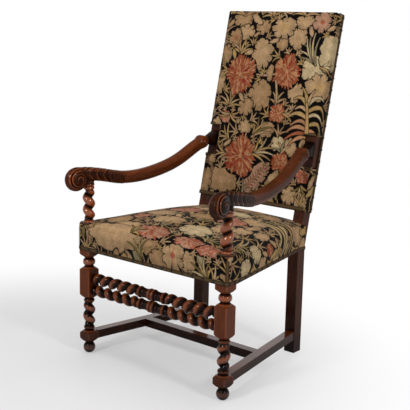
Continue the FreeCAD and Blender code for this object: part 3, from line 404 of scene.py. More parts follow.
def carved_wear(shader, place):
    """Wear and painted shade on an arm: the carving is rubbed on its crests, and its hollows and the neck are
    painted dark as shade and grime.
    """
    hollow = shader.attribute("hollow", "Fac")
    carving_and_neck_shade = shader.attribute("carving_and_neck_shade", "Fac")
    bare = 1 - hollow.between(0.37, 0.51)
    rubbed = bare * (0.25 + carving_and_neck_shade * 0.6) + (1 - carving_and_neck_shade) * 0.2
    return rubbed, hollow.between(0.52, 0.62) * 0.8 + carving_and_neck_shade * (1 - bare) * 0.6 + 0.12


def set_material(piece, material):
    piece.data.materials.clear()
    piece.data.materials.append(material)


# Pieces that keep the solids' shapes


def nail_metal():
    shader = Shader("old_nails", metallic=0.35, specular_ior_level=0.3)
    patch = shader.noise(shader.place(), scale=260, detail=3)
    shader.give(base_color=shader.mix(patch.between(0.4, 0.65), tone(15, 11, 9), tone(46, 33, 22)))
    shader.give(roughness=patch * 0.25 + 0.3)
    return shader.material


def peg_oak():
    shader = Shader("peg_oak", roughness=0.6)
    ring = shader.noise(shader.place(), scale=420, detail=3)
    shader.give(base_color=shader.mix(ring.between(0.4, 0.65), tone(84, 60, 38), tone(128, 98, 64)))
    return shader.material


FINISH_OF_NODES = {
    walnut("leg_walnut", "z", round_a_leg): ("front_leg_left", "front_leg_right"),
    walnut("stretcher_walnut", "x", round_a_stretcher): (
        "front_twist_stretcher_upper", "front_twist_stretcher_lower"),
    walnut("post_walnut", "z", darkening=0.1): ("rear_leg_left", "rear_leg_right"),
    walnut("side_walnut", "y", foot_worn): (
        "side_stretcher_left", "side_stretcher_right", "seat_rail_left", "seat_rail_right"),
    walnut("rail_walnut", "x", foot_worn): (
        "cross_stretcher", "seat_rail_front", "seat_rail_rear", "back_rail_top", "back_rail_bottom"),
    nail_metal(): ("seat_nails", "back_nails"),
    peg_oak(): ("seat_rail_pegs",),
}
for finish, names in FINISH_OF_NODES.items():
    for name in names:
        set_material(nodes[name], finish)


# Arms: carved from a field on a grid, in the arm's own frame (across, along, up from its support)

ARM_OUT, ARM_DEEP = LEG_X - POST_X, POST_FRONT + (ARM_JOINT - BEND) * LEAN - LEG_Y
ARM_TURN, ARM_RUN = math.atan2(ARM_OUT, ARM_DEEP), math.hypot(ARM_OUT, ARM_DEEP)
ARM_RISE = ARM_JOINT - SUPPORT_TOP
ROLL_ALONG, ROLL_UP, ROLL_RADIUS, ROLL_HALF = -50.0, 25.5, 39.0, 24.0
ROLL_EDGE, ROLL_TURNS, ROLL_CUT = 2.4, 1.9, 4.6
REED_PITCH, REED_CUT = 0.09, 1.1
PAD_RADIUS, PAD_HIGH, PAD_RING = 17.0, 26.0, 1.8
SHAFT_START, SHAFT_THICK, SHAFT_WIDE, SHAFT_CORNER = 60.0, 21.0, 20.5, 16.5
LEAF_END, LEAF_HALF, LEAF_TIP, LEAF_CORNER = 132.0, 21.5, 13.0, 12.5
LOBE_PITCH, LOBE_SWEEP, LOBE_CUT = 27.0, 34.0, 2.6
RIDGE_PITCH, RIDGE_CUT, SPINE_CUT = 8.6, 0.8, 1.2
LOBES_END, RIDGES_START = 70, 88
ELBOW_ALONG, ELBOW_UP = ARM_RUN - 60.0, ARM_RISE - 4.0
KNUCKLE_RADIUS, KNUCKLE_EDGE, KNUCKLE_PITCH, KNUCKLE_CUT = 22, 9, 8.5, 2.2
EYE_RADIUS, EYE_OUT = 10, 15
NECK_EDGE = 9.0
NECK_KNOTS = (ELBOW_ALONG, ELBOW_ALONG + 24, ARM_RUN - 10, ARM_RUN + 18)
NECK_HALF_HIGH, NECK_HALF_WIDE = (12, 15, 24, 31), (14, 15, 18, 19)
ARM_LINE = eased([
    (-60, 43), (-30, 43), (0, 41), (33, 35.5), (56, 31.5), (80, 26), (104, 20.8), (128, 17), (155, 14.8),
    (187, 14.6), (222, 17), (258, 22.4), (295, 29.6), (331, 38.6), (369, 51.5), (406, 69), (444, 91),
    (ELBOW_ALONG, ELBOW_UP), (ARM_RUN + 20, ELBOW_UP + 20),
])


def arm_middle(along):
    """Height of the arm's middle line."""
    return np.interp(along, *ARM_LINE)


def spiral(wind):
    """1 on the turns of a spiral and 0 halfway between them."""
    return np.abs(wind - np.floor(wind) - 0.5) * 2


def bar(away, side, half_thick, half_wide, corner):
    """Distance from a long bar with rounded corners."""
    first = np.abs(away) - half_thick + corner
    second = side - half_wide + corner
    beyond = np.hypot(np.maximum(first, 0), np.maximum(second, 0))
    return beyond + np.minimum(np.maximum(first, second), 0) - corner


def neck_field(side, along, up):
    """The neck from the knuckle to the post."""
    rise = up - np.interp(along, [ELBOW_ALONG, ARM_RUN], [ELBOW_UP, ARM_RISE + 4.5])
    high = np.abs(rise) - np.interp(along, NECK_KNOTS, NECK_HALF_HIGH)
    wide = side - np.interp(along, NECK_KNOTS, NECK_HALF_WIDE)
    return np.maximum(rounded_max(high, wide, NECK_EDGE), ELBOW_ALONG - along)


def leaf_field(side, along, away):
    """The leaf: curled lobes swept down both flanks from a rib, close ridges near its scalloped end."""
    turn = np.arctan2(side, away)
    rib = smooth(0.12, 0.3, turn) * smooth(2.8, 2.3, turn)
    past_roll = smooth(-40, -10, along)
    lobe = (along + LOBE_SWEEP * np.sin(1.3 * (turn - 0.3))) / LOBE_PITCH
    in_lobe = lobe - np.floor(lobe)
    curl = LOBE_CUT * (1 - in_lobe) ** 1.6 + 0.5 * np.cos(4 * np.pi * in_lobe) ** 2 * in_lobe
    curl = curl * past_roll * smooth(RIDGES_START, LOBES_END, along)
    ridges = RIDGE_CUT * (0.5 + 0.5 * np.cos(2 * np.pi * (along + 5 * np.sin(turn)) / RIDGE_PITCH))
    ridges = ridges * smooth(LOBES_END, RIDGES_START, along)
    spine = SPINE_CUT * np.exp(-((turn - 0.2) / 0.08) ** 2) * past_roll
    end = LEAF_END - 4 + 4 * np.cos(turn * 5)
    half_wide = np.interp(along, [ROLL_ALONG, 0], [LEAF_TIP, LEAF_HALF])
    leaf = bar(away, side, LEAF_HALF, half_wide, LEAF_CORNER) + (curl + ridges) * rib + spine
    return np.maximum(rounded_max(leaf, along - end, 1.5), ROLL_ALONG - along)


def roll_field(side, along, up):
    """The roll: rounded like a snail's shell, with a spiral from its rim to an eye on both faces."""
    from_roll, above_roll = along - ROLL_ALONG, up - ROLL_UP
    radius = np.hypot(from_roll, above_roll)
    swell = ((radius / ROLL_RADIUS) ** ROLL_EDGE + (side / ROLL_HALF) ** ROLL_EDGE) ** (1 / ROLL_EDGE)
    climb = np.arctan2(side / ROLL_HALF, radius / ROLL_RADIUS) * 2 / np.pi
    wind = ROLL_TURNS * (climb - 0.3) / 0.7 - np.arctan2(above_roll, from_roll) / (2 * np.pi)
    on_face = smooth(0.2, 0.36, climb)
    volute = ROLL_CUT * smooth(0.62, 1.0, spiral(wind)) * on_face
    reeds = REED_CUT * (0.5 + 0.5 * np.cos(2 * np.pi * climb / REED_PITCH))
    volute = volute + reeds * (1 - on_face)
    return (swell - 1) * 30 + volute * smooth(7, 10, radius)


def knuckle_field(side, along, up):
    """The knuckle: the rounded end of the shaft, with a small spiral and an eye on both its faces."""
    from_elbow, above_elbow = along - ELBOW_ALONG, up - ELBOW_UP
    radius = np.hypot(from_elbow, above_elbow)
    wind = radius / KNUCKLE_PITCH + np.arctan2(above_elbow, from_elbow) / (2 * np.pi)
    groove = KNUCKLE_CUT * smooth(0.6, 1.0, spiral(wind)) * smooth(4, 6, radius)
    face = side - SHAFT_WIDE + groove * smooth(20, 17, radius)
    knuckle = rounded_max(radius - KNUCKLE_RADIUS, face, KNUCKLE_EDGE)
    return np.minimum(knuckle, np.hypot(radius, side - EYE_OUT) - EYE_RADIUS)


def pad_field(across, along, up):
    """The round pad on the arm's support, with a ring near its foot."""
    ring = PAD_RING * np.exp(-((up - 5) / 3.2) ** 2)
    return rounded_max(np.hypot(across, along) - PAD_RADIUS - ring, np.maximum(-up, up - PAD_HIGH), 1.5)


def arm_field(across, along, up):
    """Distance from the carved surface of an arm; the three arrays spread over the grid."""
    slope = np.gradient(arm_middle(along[0, :, 0]), along[0, :, 0])[None, :, None]
    away = (up - arm_middle(along)) / np.sqrt(1 + slope * slope)
    side = np.abs(across)
    shaft = bar(away, side, SHAFT_THICK, SHAFT_WIDE, SHAFT_CORNER)
    shaft = np.maximum(shaft, np.maximum(SHAFT_START - along, along - ELBOW_ALONG))
    field = blended_min(shaft, knuckle_field(side, along, up), 5)
    field = blended_min(field, neck_field(side, along, up), 4)
    field = np.minimum(field, leaf_field(side, along, away))
    field = blended_min(field, roll_field(side, along, up), 5)
    field = blended_min(field, pad_field(across, along, up), 4)
    depth = LEG_Y + along * math.cos(ARM_TURN) + across * math.sin(ARM_TURN)
    past_post = (depth - POST_FRONT - (up + SUPPORT_TOP - BEND) * LEAN) * LEAN_COS
    return np.maximum(field, past_post + 0.2)


ARM_GRID_LOW, ARM_GRID_HIGH = (-28.0, -90.0, -16.0), (28, ARM_RUN + 18, 172)
ARM_STEP, QUICK_ARM_STEP = 1.1, 1.25
# How much darker each arm's wood is made: the right arm darker, the left a little lighter
ARM_DARKENING = {"right": 0.07, "left": -0.04}


def carve_arms():
    step = ARM_STEP
    field = arm_field(*grid_of(ARM_GRID_LOW, ARM_GRID_HIGH, step)).astype(np.float32)
    points, quads = surface_of(field, ARM_GRID_LOW, step)
    # How deep each point lies in a hollow; the arm's finish paints the hollows dark as shade
    hollow = hollow_at(field, points, ARM_GRID_LOW, step, reach=3)
    carving_and_neck_shade = smooth(LEAF_END + 4, LEAF_END - 6, points[:, 1])
    # The neck is kept unrubbed and painted dark, as painted shade where the arm meets the back's post
    neck = smooth(ELBOW_ALONG + 10, ELBOW_ALONG + 24, points[:, 1])
    carving_and_neck_shade = np.maximum(carving_and_neck_shade, 1.3 * neck)
    hollow += (np.maximum(hollow, 0.5) - hollow) * neck
    cos, sin = math.cos(ARM_TURN), math.sin(ARM_TURN)
    x = LEG_X + cos * points[:, 0] - sin * points[:, 1]
    y = LEG_Y + sin * points[:, 0] + cos * points[:, 1]
    z = SUPPORT_TOP + points[:, 2]
    for side, sign in SIDES:
        faces = quads if sign > 0 else quads[:, ::-1]
        piece = mesh_object(f"carved_arm_{side}", np.c_[sign * x, y, z], faces)
        paint_number(piece, "hollow", hollow)
        paint_number(piece, "carving_and_neck_shade", carving_and_neck_shade)
        finish = walnut(f"arm_walnut_{side}", "y", carved_wear, ARM_DARKENING[side], wax=0.04, shine=0.5)
        set_material(piece, finish)
        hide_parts(f"arm_{side}")


carve_arms()

# Upholstery: needlework


def yarn(red, green, blue):
    return np.array(tone(red, green, blue)[:3])


GROUND = yarn(15, 12, 11)
BEIGE, TAN, PALE = yarn(149, 121, 89), yarn(138, 109, 78), yarn(160, 140, 107)
OLIVE, STRAW, SAGE = yarn(102, 88, 52), yarn(147, 119, 77), yarn(120, 109, 82)
RED, SALMON, PEACH = yarn(114, 46, 32), yarn(130, 74, 50), yarn(152, 110, 78)
ROSE, DULL_PINK = yarn(140, 76, 62), yarn(148, 112, 90)
GOLD, GREENS, FILLING = [STRAW, BEIGE, STRAW, TAN], [STRAW, OLIVE, SAGE], [TAN, BEIGE, BEIGE, STRAW]
SEAT_SEED, BACK_SEED = 5, 3
PETAL_RINGS = ((1.0, 0.5), (0.8, 0.3), (0.58, 0.1), (0.33, 0.0))
STROKE_PARTS = 10
BLADE_WIDE, BLADE_BOW = 7.5, 0.2
GAP_CELL, LEAST_GAP, MOST_FILLED = 3.0, 8.0, 60
STITCH, STITCH_ROW, TUFT = 1.2, 2.4, 4.5
SCATTER, SCATTER_SCALE = np.array([12.9898, 78.233]), 43758.5


class Needlework:
    """Wool colours stitched at points given on the flat panel, in millimetres."""

    def __init__(self, places, seed):
        self.places = places
        self.chance = np.random.default_rng(seed)
        self.colours = np.tile(GROUND, (len(places), 1))
        self.worked = np.zeros(len(places))
        self.order = np.argsort(places[:, 0])
        self.across = places[self.order, 0]

    def within(self, low, high):
        """The points inside a box on the panel."""
        first, last = np.searchsorted(self.across, (low[0], high[0]))
        picked = self.order[first:last]
        up = self.places[picked, 1]
        return picked[(up > low[1]) & (up < high[1])]

    def near(self, middle, reach):
        """The points near a place, and how far across and up from it they are."""
        middle = np.asarray(middle, float)
        picked = self.within(middle - reach, middle + reach)
        offset = self.places[picked] - middle
        return picked, offset[:, 0], offset[:, 1]

    def stitch(self, picked, cover, colour):
        self.colours[picked] += cover[:, None] * (colour - self.colours[picked])
        self.worked[picked] = np.maximum(self.worked[picked], cover)

    def unpick(self, picked, cover):
        """Lays the dark ground round a motif."""
        self.colours[picked] += cover[:, None] * (GROUND - self.colours[picked])

    def patch(self, middle, half_wide, half_high, colour, lobes, turn, notch=0.12, lean=0.0, heart=None):
        """A leaf of round lobes with slits between them and a ragged dark outline, worked in a few tones."""
        picked, across, up = self.near(middle, 1.5 * max(half_wide, half_high) + 8)
        cos, sin = math.cos(lean), math.sin(lean)
        right, rise = (cos * across + sin * up) / half_wide, (cos * up - sin * across) / half_high
        angle, radius = np.arctan2(rise, right), np.hypot(right, rise)
        size = math.sqrt(half_wide * half_high)
        once, twice = angle + 2.3 * turn, 2 * angle + 1.7 * turn
        uneven = angle + 0.42 * np.sin(once) + 0.22 * np.sin(twice)
        rate = 1 + 0.42 * np.cos(once) + 0.44 * np.cos(twice)
        swing = np.abs(np.cos((lobes * uneven + turn) / 2))
        scallop = np.abs(np.cos(((2 * lobes + 1) * uneven + turn) / 2)) ** 0.6
        ragged = np.cos(13 * angle + 3.1 * turn) + 0.8 * np.cos(21 * angle + 5 * turn)
        ragged = ragged + 0.6 * np.cos(34 * angle + turn)
        edge = 1 + notch * (1.4 * swing ** 0.6 + 0.8 * scallop - 1.3) + min(0.03, 1.1 / size) * ragged
        beyond, share = (radius - edge) * size, radius / edge
        self.unpick(picked, smooth(4.6, 2.8, beyond))
        tilt = share + 0.25 * right - 0.2 * rise
        shade = 1.06 - 0.09 * smooth(0.4, 0.5, tilt) - 0.12 * smooth(0.8, 0.9, tilt)
        shade = shade + 0.05 * np.sin(across / 9 + turn) * np.sin(up / 11 + 2 * turn)
        tint = np.tile(colour, (len(picked), 1))
        if heart is not None:
            tint += (heart - tint) * (0.7 * smooth(0.6, 0.2, share))[:, None]
        self.stitch(picked, smooth(1.0, -1.0, beyond), shade[:, None] * tint)
        if 22 < size < 50:
            slit = radius * size * swing * 2 / (lobes * rate) - 6 * (share - 0.7)
            inside = smooth(0.72, 0.82, share) * smooth(1.12, 1.02, share)
            self.unpick(picked, smooth(1.4, 0.2, slit) * inside)

    def leaves(self, rows, notch):
        for across, up, half_wide, half_high, colour, lobes, turn in rows:
            self.patch((across, up), half_wide, half_high, colour, lobes, turn, notch)

    def bloom(self, middle, half_wide, half_high, deep, light, rim):
        """A many-petalled flower: rings of narrow petals of mixed tones, dark red between them."""
        picked, across, up = self.near(middle, 1.35 * max(half_wide, half_high) + 6)
        right, rise = across / half_wide, up / half_high
        angle = np.arctan2(rise, right) + self.chance.uniform(0, 6)
        wave = 1 + 0.05 * np.cos(3 * angle) + 0.05 * np.cos(5 * angle + 1)
        radius = np.hypot(right, rise) / wave
        size = math.sqrt(half_wide * half_high)
        self.unpick(picked, smooth(5, 3, (radius - 1) * size))
        tones = np.array([rim, rim, light, light, light, deep])
        for outer, inner in PETAL_RINGS:
            count = max(8, round(size * outer / 1.1))
            turn = angle * count / (2 * math.pi) + self.chance.uniform()
            number = np.floor(turn).astype(int) % count
            across_petal = 2 * np.abs(turn - np.floor(turn) - 0.5)
            edge = outer * (1 - 0.12 * across_petal ** 2) * self.chance.uniform(0.86, 1.08, count)[number]
            along = np.clip((radius - inner) / (edge - inner), 0, 1)
            petal = tones[self.chance.integers(len(tones), size=count)][number]
            colour = deep + (petal - deep) * smooth(0.0, 0.5, along)[:, None]
            line = smooth(0.55, 0.95, across_petal) * smooth(0.0, 0.3, along)
            colour = colour + (0.8 * deep - colour) * (0.6 * line[:, None])
            self.stitch(picked, smooth(0.9, -0.9, (radius - edge) * size), colour)
        self.stitch(picked, smooth(0.14, 0.07, radius), rim)

    def blooms(self, rows, deep, light, rim):
        for across, up, half_wide, half_high in rows:
            self.bloom((across, up), half_wide, half_high, deep, light, rim)

    def stroke(self, start, bend, end, wide, colour, tip=0.25, margin=0.0):
        """A tapering curved stroke, with a margin of dark ground if one is given."""
        start, bend, end = (np.asarray(spot, float) for spot in (start, bend, end))
        line = bent(start, bend, end, np.linspace(0, 1, STROKE_PARTS + 1)[:, None])
        picked = self.within(line.min(0) - wide - margin - 3, line.max(0) + wide + margin + 3)
        spots = self.places[picked]
        best = np.full(len(picked), np.inf)
        along = np.zeros(len(picked))
        for number, (first, last) in enumerate(zip(line, line[1:])):
            run = last - first
            part = np.clip(((spots - first) @ run) / max(run @ run, 1e-9), 0, 1)
            away = np.linalg.norm(spots - first - part[:, None] * run, axis=1)
            closer = away < best
            best[closer] = away[closer]
            along[closer] = (number + part[closer]) / STROKE_PARTS
        half = wide / 2 * np.interp(along, [0, 0.35, 1], [0.7, 1, tip])
        if margin:
            self.unpick(picked, smooth(half + margin + 1, half + margin - 1, best))
        shade = 1 + 0.12 * self.chance.uniform(-1, 1)
        self.stitch(picked, smooth(half + 0.9, half - 0.9, best), shade * colour)

    def fan(self, base, aim, spread, count, reach, colours, wide, curl=0.35):
        """Blades spreading from a point; aim and spread are angles in degrees."""
        base = np.asarray(base, float)
        for number in range(count):
            share = number / (count - 1) - 0.5
            angle = math.radians(aim + spread * share)
            long = reach * (1 - 0.5 * share * share) * self.chance.uniform(0.85, 1.1)
            ahead = np.array([math.cos(angle), math.sin(angle)])
            swerve = np.array([-ahead[1], ahead[0]]) * share * curl * long
            elbow, tip = base + 0.55 * long * ahead - swerve, base + long * ahead + swerve
            self.stroke(base, elbow, tip, wide, colours[number % len(colours)], margin=1.4)

    def plume(self, base, tips, colours):
        """Blades from a point to each tip, bowed away from their middle."""
        base = np.asarray(base, float)
        middle = np.mean(tips, axis=0) - base
        for number, tip in enumerate(tips):
            run = np.asarray(tip, float) - base
            side = np.sign(middle[0] * run[1] - middle[1] * run[0])
            bend = base + 0.55 * run + BLADE_BOW * side * np.array([run[1], -run[0]])
            self.stroke(base, bend, tip, BLADE_WIDE, colours[number % len(colours)], 0.35, 2.0)

    def frond(self, start, bend, end, blades, reach, colours, wide, sweep=50):
        """A curved stem with blades along both sides, sweeping towards its tip."""
        start, bend, end = (np.asarray(spot, float) for spot in (start, bend, end))
        for number in range(blades):
            share = (number + 0.6) / blades
            spot = bent(start, bend, end, share)
            ahead = 2 * (1 - share) * (bend - start) + 2 * share * (end - bend)
            angle = math.atan2(ahead[1], ahead[0])
            long = reach * (1 - 0.55 * share)
            for side in (1, -1):
                out = angle + side * math.radians(sweep)
                tip = spot + long * np.array([math.cos(out), math.sin(out)])
                middle = angle + side * math.radians(0.45 * sweep)
                elbow = spot + 0.6 * long * np.array([math.cos(middle), math.sin(middle)])
                self.stroke(spot, elbow, tip, wide, colours[number % len(colours)], margin=1.4)
        self.stroke(start, bend, end, wide * 0.8, colours[0])

    def flower(self, middle, radius, colour, heart, turn):
        """A flower of five petals with a plain heart."""
        self.patch(middle, radius, radius, colour, 5, turn, 0.2)
        picked, across, up = self.near(middle, radius)
        self.stitch(picked, smooth(0.3 * radius, 0.2 * radius, np.hypot(across, up)), heart)

    def clearance(self):
        """Distances from worked stitches, by cells of a grid, and the cell of each point."""
        low = self.places.min(axis=0)
        cell = ((self.places - low) / GAP_CELL).astype(int)
        free = np.ones(cell.max(axis=0) + 1, bool)
        busy = cell[self.worked > 0.3]
        free[tuple(busy.T)] = False
        clear = np.zeros(free.shape)
        for number in range(12):
            clear += free
            spread = np.pad(free, 1, constant_values=True)
            shifts = [(0, 1), (2, 1), (1, 0), (1, 2)]
            if number % 2:
                shifts += [(0, 0), (0, 2), (2, 0), (2, 2)]
            for down, over in shifts:
                free = free & spread[down:down + free.shape[0], over:over + free.shape[1]]
        return clear * GAP_CELL, cell

    def fill(self, rounds):
        """Leaves and blades that fit what is left of the ground, the widest gaps first."""
        for _ in range(rounds):
            clear, cell = self.clearance()
            room = clear[tuple(cell.T)]
            open_spots = np.flatnonzero(room >= LEAST_GAP)
            taken = []
            for spot in open_spots[np.argsort(-room[open_spots], kind="stable")]:
                place, size = self.places[spot], room[spot]
                if any(abs(place[0] - x) + abs(place[1] - y) < 1.5 * (size + other) for x, y, other in taken):
                    continue
                taken.append((*place, size))
                if len(taken) > MOST_FILLED:
                    break
            for x, y, size in taken:
                colour = FILLING[self.chance.integers(len(FILLING))]
                lean = self.chance.uniform(0, math.pi)
                if self.chance.uniform() < 0.8:
                    base = (x - size * math.cos(lean), y - size * math.sin(lean))
                    self.fan(base, math.degrees(lean), 90, 4, 2.1 * size, [colour], 6.0)
                else:
                    turn = self.chance.uniform(0, 6)
                    self.patch((x, y), 1.5 * size, 0.6 * size, colour, 4, turn, 0.2, lean)

    def finished(self):
        """The colours with each stitch a little different."""
        speckle = 1 + 0.16 * self.chance.uniform(-1, 1, (len(self.places), 1))
        rows = 1 + 0.06 * np.sin(SCATTER[0] * np.floor(self.places / STITCH_ROW)).sum(axis=1, keepdims=True)
        tuft = np.sin(np.floor(self.places / TUFT) @ SCATTER) * SCATTER_SCALE
        worn = 1 + 0.3 * (tuft - np.floor(tuft) - 0.5)[:, None]
        return np.clip(self.colours * speckle * rows * worn, 0, 1)


# Motifs on the back, placed across and up: leaves and blooms with their half sizes, and blades
BACK_LEAVES = (
    (-37, 646, 42, 52, BEIGE, 6, 0.4), (-17, 500, 46, 50, TAN, 6, 1.2),
    (-56, 741, 28, 25, TAN, 5, 2.0), (-154, 768, 42, 24, TAN, 5, 0.8),
    (-128, 722, 35, 26, BEIGE, 5, 2.4), (100, 708, 32, 38, BEIGE, 5, 2.6),
    (118, 762, 46, 22, BEIGE, 5, 1.5), (184, 600, 48, 42, PALE, 5, 1.1),
    (238, 662, 44, 62, PALE, 5, 0.2), (126, 519, 27, 32, BEIGE, 5, 2.2),
    (-72, 455, 32, 28, TAN, 5, 0.7), (-134, 188, 72, 40, TAN, 7, 1.3),
    (34, 384, 30, 27, TAN, 5, 0.2), (40, 684, 22, 22, TAN, 4, 0.5),
    (-206, 640, 24, 34, TAN, 5, 1.7), (-214, 536, 22, 40, BEIGE, 5, 0.4),
    (-212, 180, 30, 44, TAN, 5, 0.3), (164, 170, 29, 28, BEIGE, 5, 1.0),
    (-196, 385, 22, 24, BEIGE, 5, 1.1), (-196, 262, 20, 26, TAN, 4, 0.6),
    (60, 132, 46, 24, TAN, 5, 0.9), (226, 330, 24, 46, BEIGE, 5, 0.3),
    (214, 150, 24, 28, BEIGE, 4, 0.8), (-8, 140, 24, 26, TAN, 4, 0.4),
    (-60, 384, 26, 24, BEIGE, 5, 1.4), (14, 580, 18, 26, TAN, 4, 0.9),
    (136, 330, 24, 30, BEIGE, 4, 1.8),
)
BACK_BLOOMS = (
    (-121, 569, 66, 76), (79, 589, 55, 61), (70, 443, 36, 35), (-61, 281, 71, 75), (110, 276, 36, 37),
)
BACK_PLUMES = (
    ((-134, 645), ((-199, 661), (-187, 681), (-169, 697), (-147, 704), (-120, 695), (-97, 677),
      (-83, 660)), GOLD),
    ((184, 617), ((117, 640), (120, 662), (130, 684), (137, 704), (148, 718), (164, 726), (184, 712)),
      [SAGE, PALE]),
    ((204, 610), ((231, 634), (252, 624), (261, 604), (250, 586)), [PALE, STRAW]),
    ((-184, 577), ((-222, 640), (-220, 618), (-219, 598), (-217, 577), (-210, 556)), GOLD),
    ((-150, 452), ((-207, 462), (-203, 487), (-184, 502), (-158, 506), (-129, 494), (-106, 479),
      (-94, 456)), GOLD),
    ((-138, 424), ((-200, 420), (-202, 440), (-96, 436), (-86, 416), (-89, 394)), GOLD),
    ((-8, 293), ((7, 348), (41, 352), (67, 342), (79, 321), (79, 298), (70, 278), (50, 262)),
      [STRAW, PALE, TAN]),
    ((-128, 282), ((-176, 318), (-183, 294), (-182, 270), (-170, 248)), GOLD),
    ((-24, 352), ((-20, 398), (-4, 424), (14, 416), (34, 408), (52, 392), (60, 374)), [STRAW, OLIVE, BEIGE]),
    ((-128, 338), ((-168, 316), (-180, 338), (-172, 362), (-156, 382), (-134, 394)), GOLD),
    ((55, 474), ((28, 490), (38, 514), (56, 512), (80, 517), (93, 495)), [TAN, BEIGE, SAGE]),
    ((92, 443), ((110, 473), (125, 458), (131, 439), (127, 419)), [BEIGE, STRAW]),
    ((110, 310), ((78, 322), (94, 344), (118, 350), (140, 336)), [SAGE, BEIGE]),
    ((150, 222), ((150, 276), (170, 272), (182, 254), (120, 250)), [SAGE, STRAW]),
    ((205, 208), ((170, 188), (184, 172), (206, 164), (228, 176), (236, 196)), [OLIVE, STRAW, BEIGE]),
    ((112, 150), ((66, 176), (80, 196), (104, 204), (130, 198)), [STRAW, OLIVE]),
    ((214, 132), ((184, 168), (204, 186), (222, 186), (240, 170)), [STRAW, BEIGE]),
    ((-150, 782), ((-206, 790), (-190, 800), (-110, 800), (-96, 790)), GOLD),
    ((-20, 782), ((-70, 778), (-58, 796), (10, 798), (-4, 772)), GOLD),
    ((112, 786), ((60, 790), (80, 802), (150, 800), (166, 788)), GOLD),
)
PALM_BLADES = (
    ((186, 372), (160, 374), (132, 340), 13, PEACH), ((186, 384), (150, 392), (114, 358), 12, SALMON),
    ((186, 398), (150, 418), (116, 384), 14, PEACH), ((184, 416), (160, 440), (128, 408), 12, PEACH),
    ((184, 436), (146, 466), (116, 436), 14, STRAW), ((182, 456), (160, 486), (136, 464), 11, BEIGE),
    ((178, 474), (158, 520), (126, 498), 13, STRAW), ((190, 390), (212, 406), (234, 370), 12, PEACH),
    ((190, 410), (232, 440), (246, 390), 13, STRAW), ((188, 440), (216, 468), (250, 424), 11, PALE),
    ((184, 458), (232, 500), (254, 446), 14, STRAW), ((180, 476), (204, 526), (240, 500), 12, PALE),
    ((178, 480), (174, 516), (152, 538), 12, STRAW), ((180, 480), (182, 512), (198, 534), 10, BEIGE),
)


def work_the_back(places):
    work = Needlework(places, BACK_SEED)
    work.leaves(BACK_LEAVES, 0.16)
    work.patch((33, 740), 44, 34, BEIGE, 6, 0.9, 0.2, heart=STRAW)
    work.patch((212, 543), 48, 42, BEIGE, 5, 1.9, 0.2, heart=STRAW)
    work.patch((-172, 700), 30, 30, TAN, 5, 1.3, 0.2, heart=SALMON)
    work.flower((182, 764), 32, DULL_PINK, SALMON, 1.1)
    work.patch((18, 214), 70, 30, DULL_PINK, 9, 0.6, 0.12, 0.85)
    work.frond((-26, 168), (16, 214), (60, 262), 9, 24, [TAN, ROSE], 3.4)
    work.blooms(BACK_BLOOMS, RED, SALMON, PEACH)
    work.bloom((-159, 413), 25, 23, ROSE, DULL_PINK, PEACH)
    work.bloom((203, 241), 27, 25, ROSE, SALMON, DULL_PINK)
    work.flower((90, 340), 24, PALE, STRAW, 0.3)
    for base, tips, colours in BACK_PLUMES:
        work.plume(base, tips, colours)
    for base, bend, tip, wide, colour in PALM_BLADES:
        work.stroke(base, bend, tip, wide, colour, 0.3, 2.5)
    # The palm's trunk, then stems between the blooms
    work.stroke((194, 346), (194, 410), (176, 486), 13, STRAW, 0.5, 2)
    work.stroke((190, 350), (189, 400), (182, 456), 5, PEACH, 0.5)
    work.stroke((40, 556), (52, 520), (58, 480), 7, BEIGE, 0.8, 2)
    work.stroke((-46, 572), (-22, 570), (0, 571), 6, PALE, 0.9, 2)
    work.stroke((-40, 570), (-20, 566), (-4, 568), 2.6, SALMON, 0.9)
    work.stroke((-36, 124), (-30, 160), (-34, 200), 9, SAGE, 0.6, 2)
    work.fill(2)
    return work.finished()


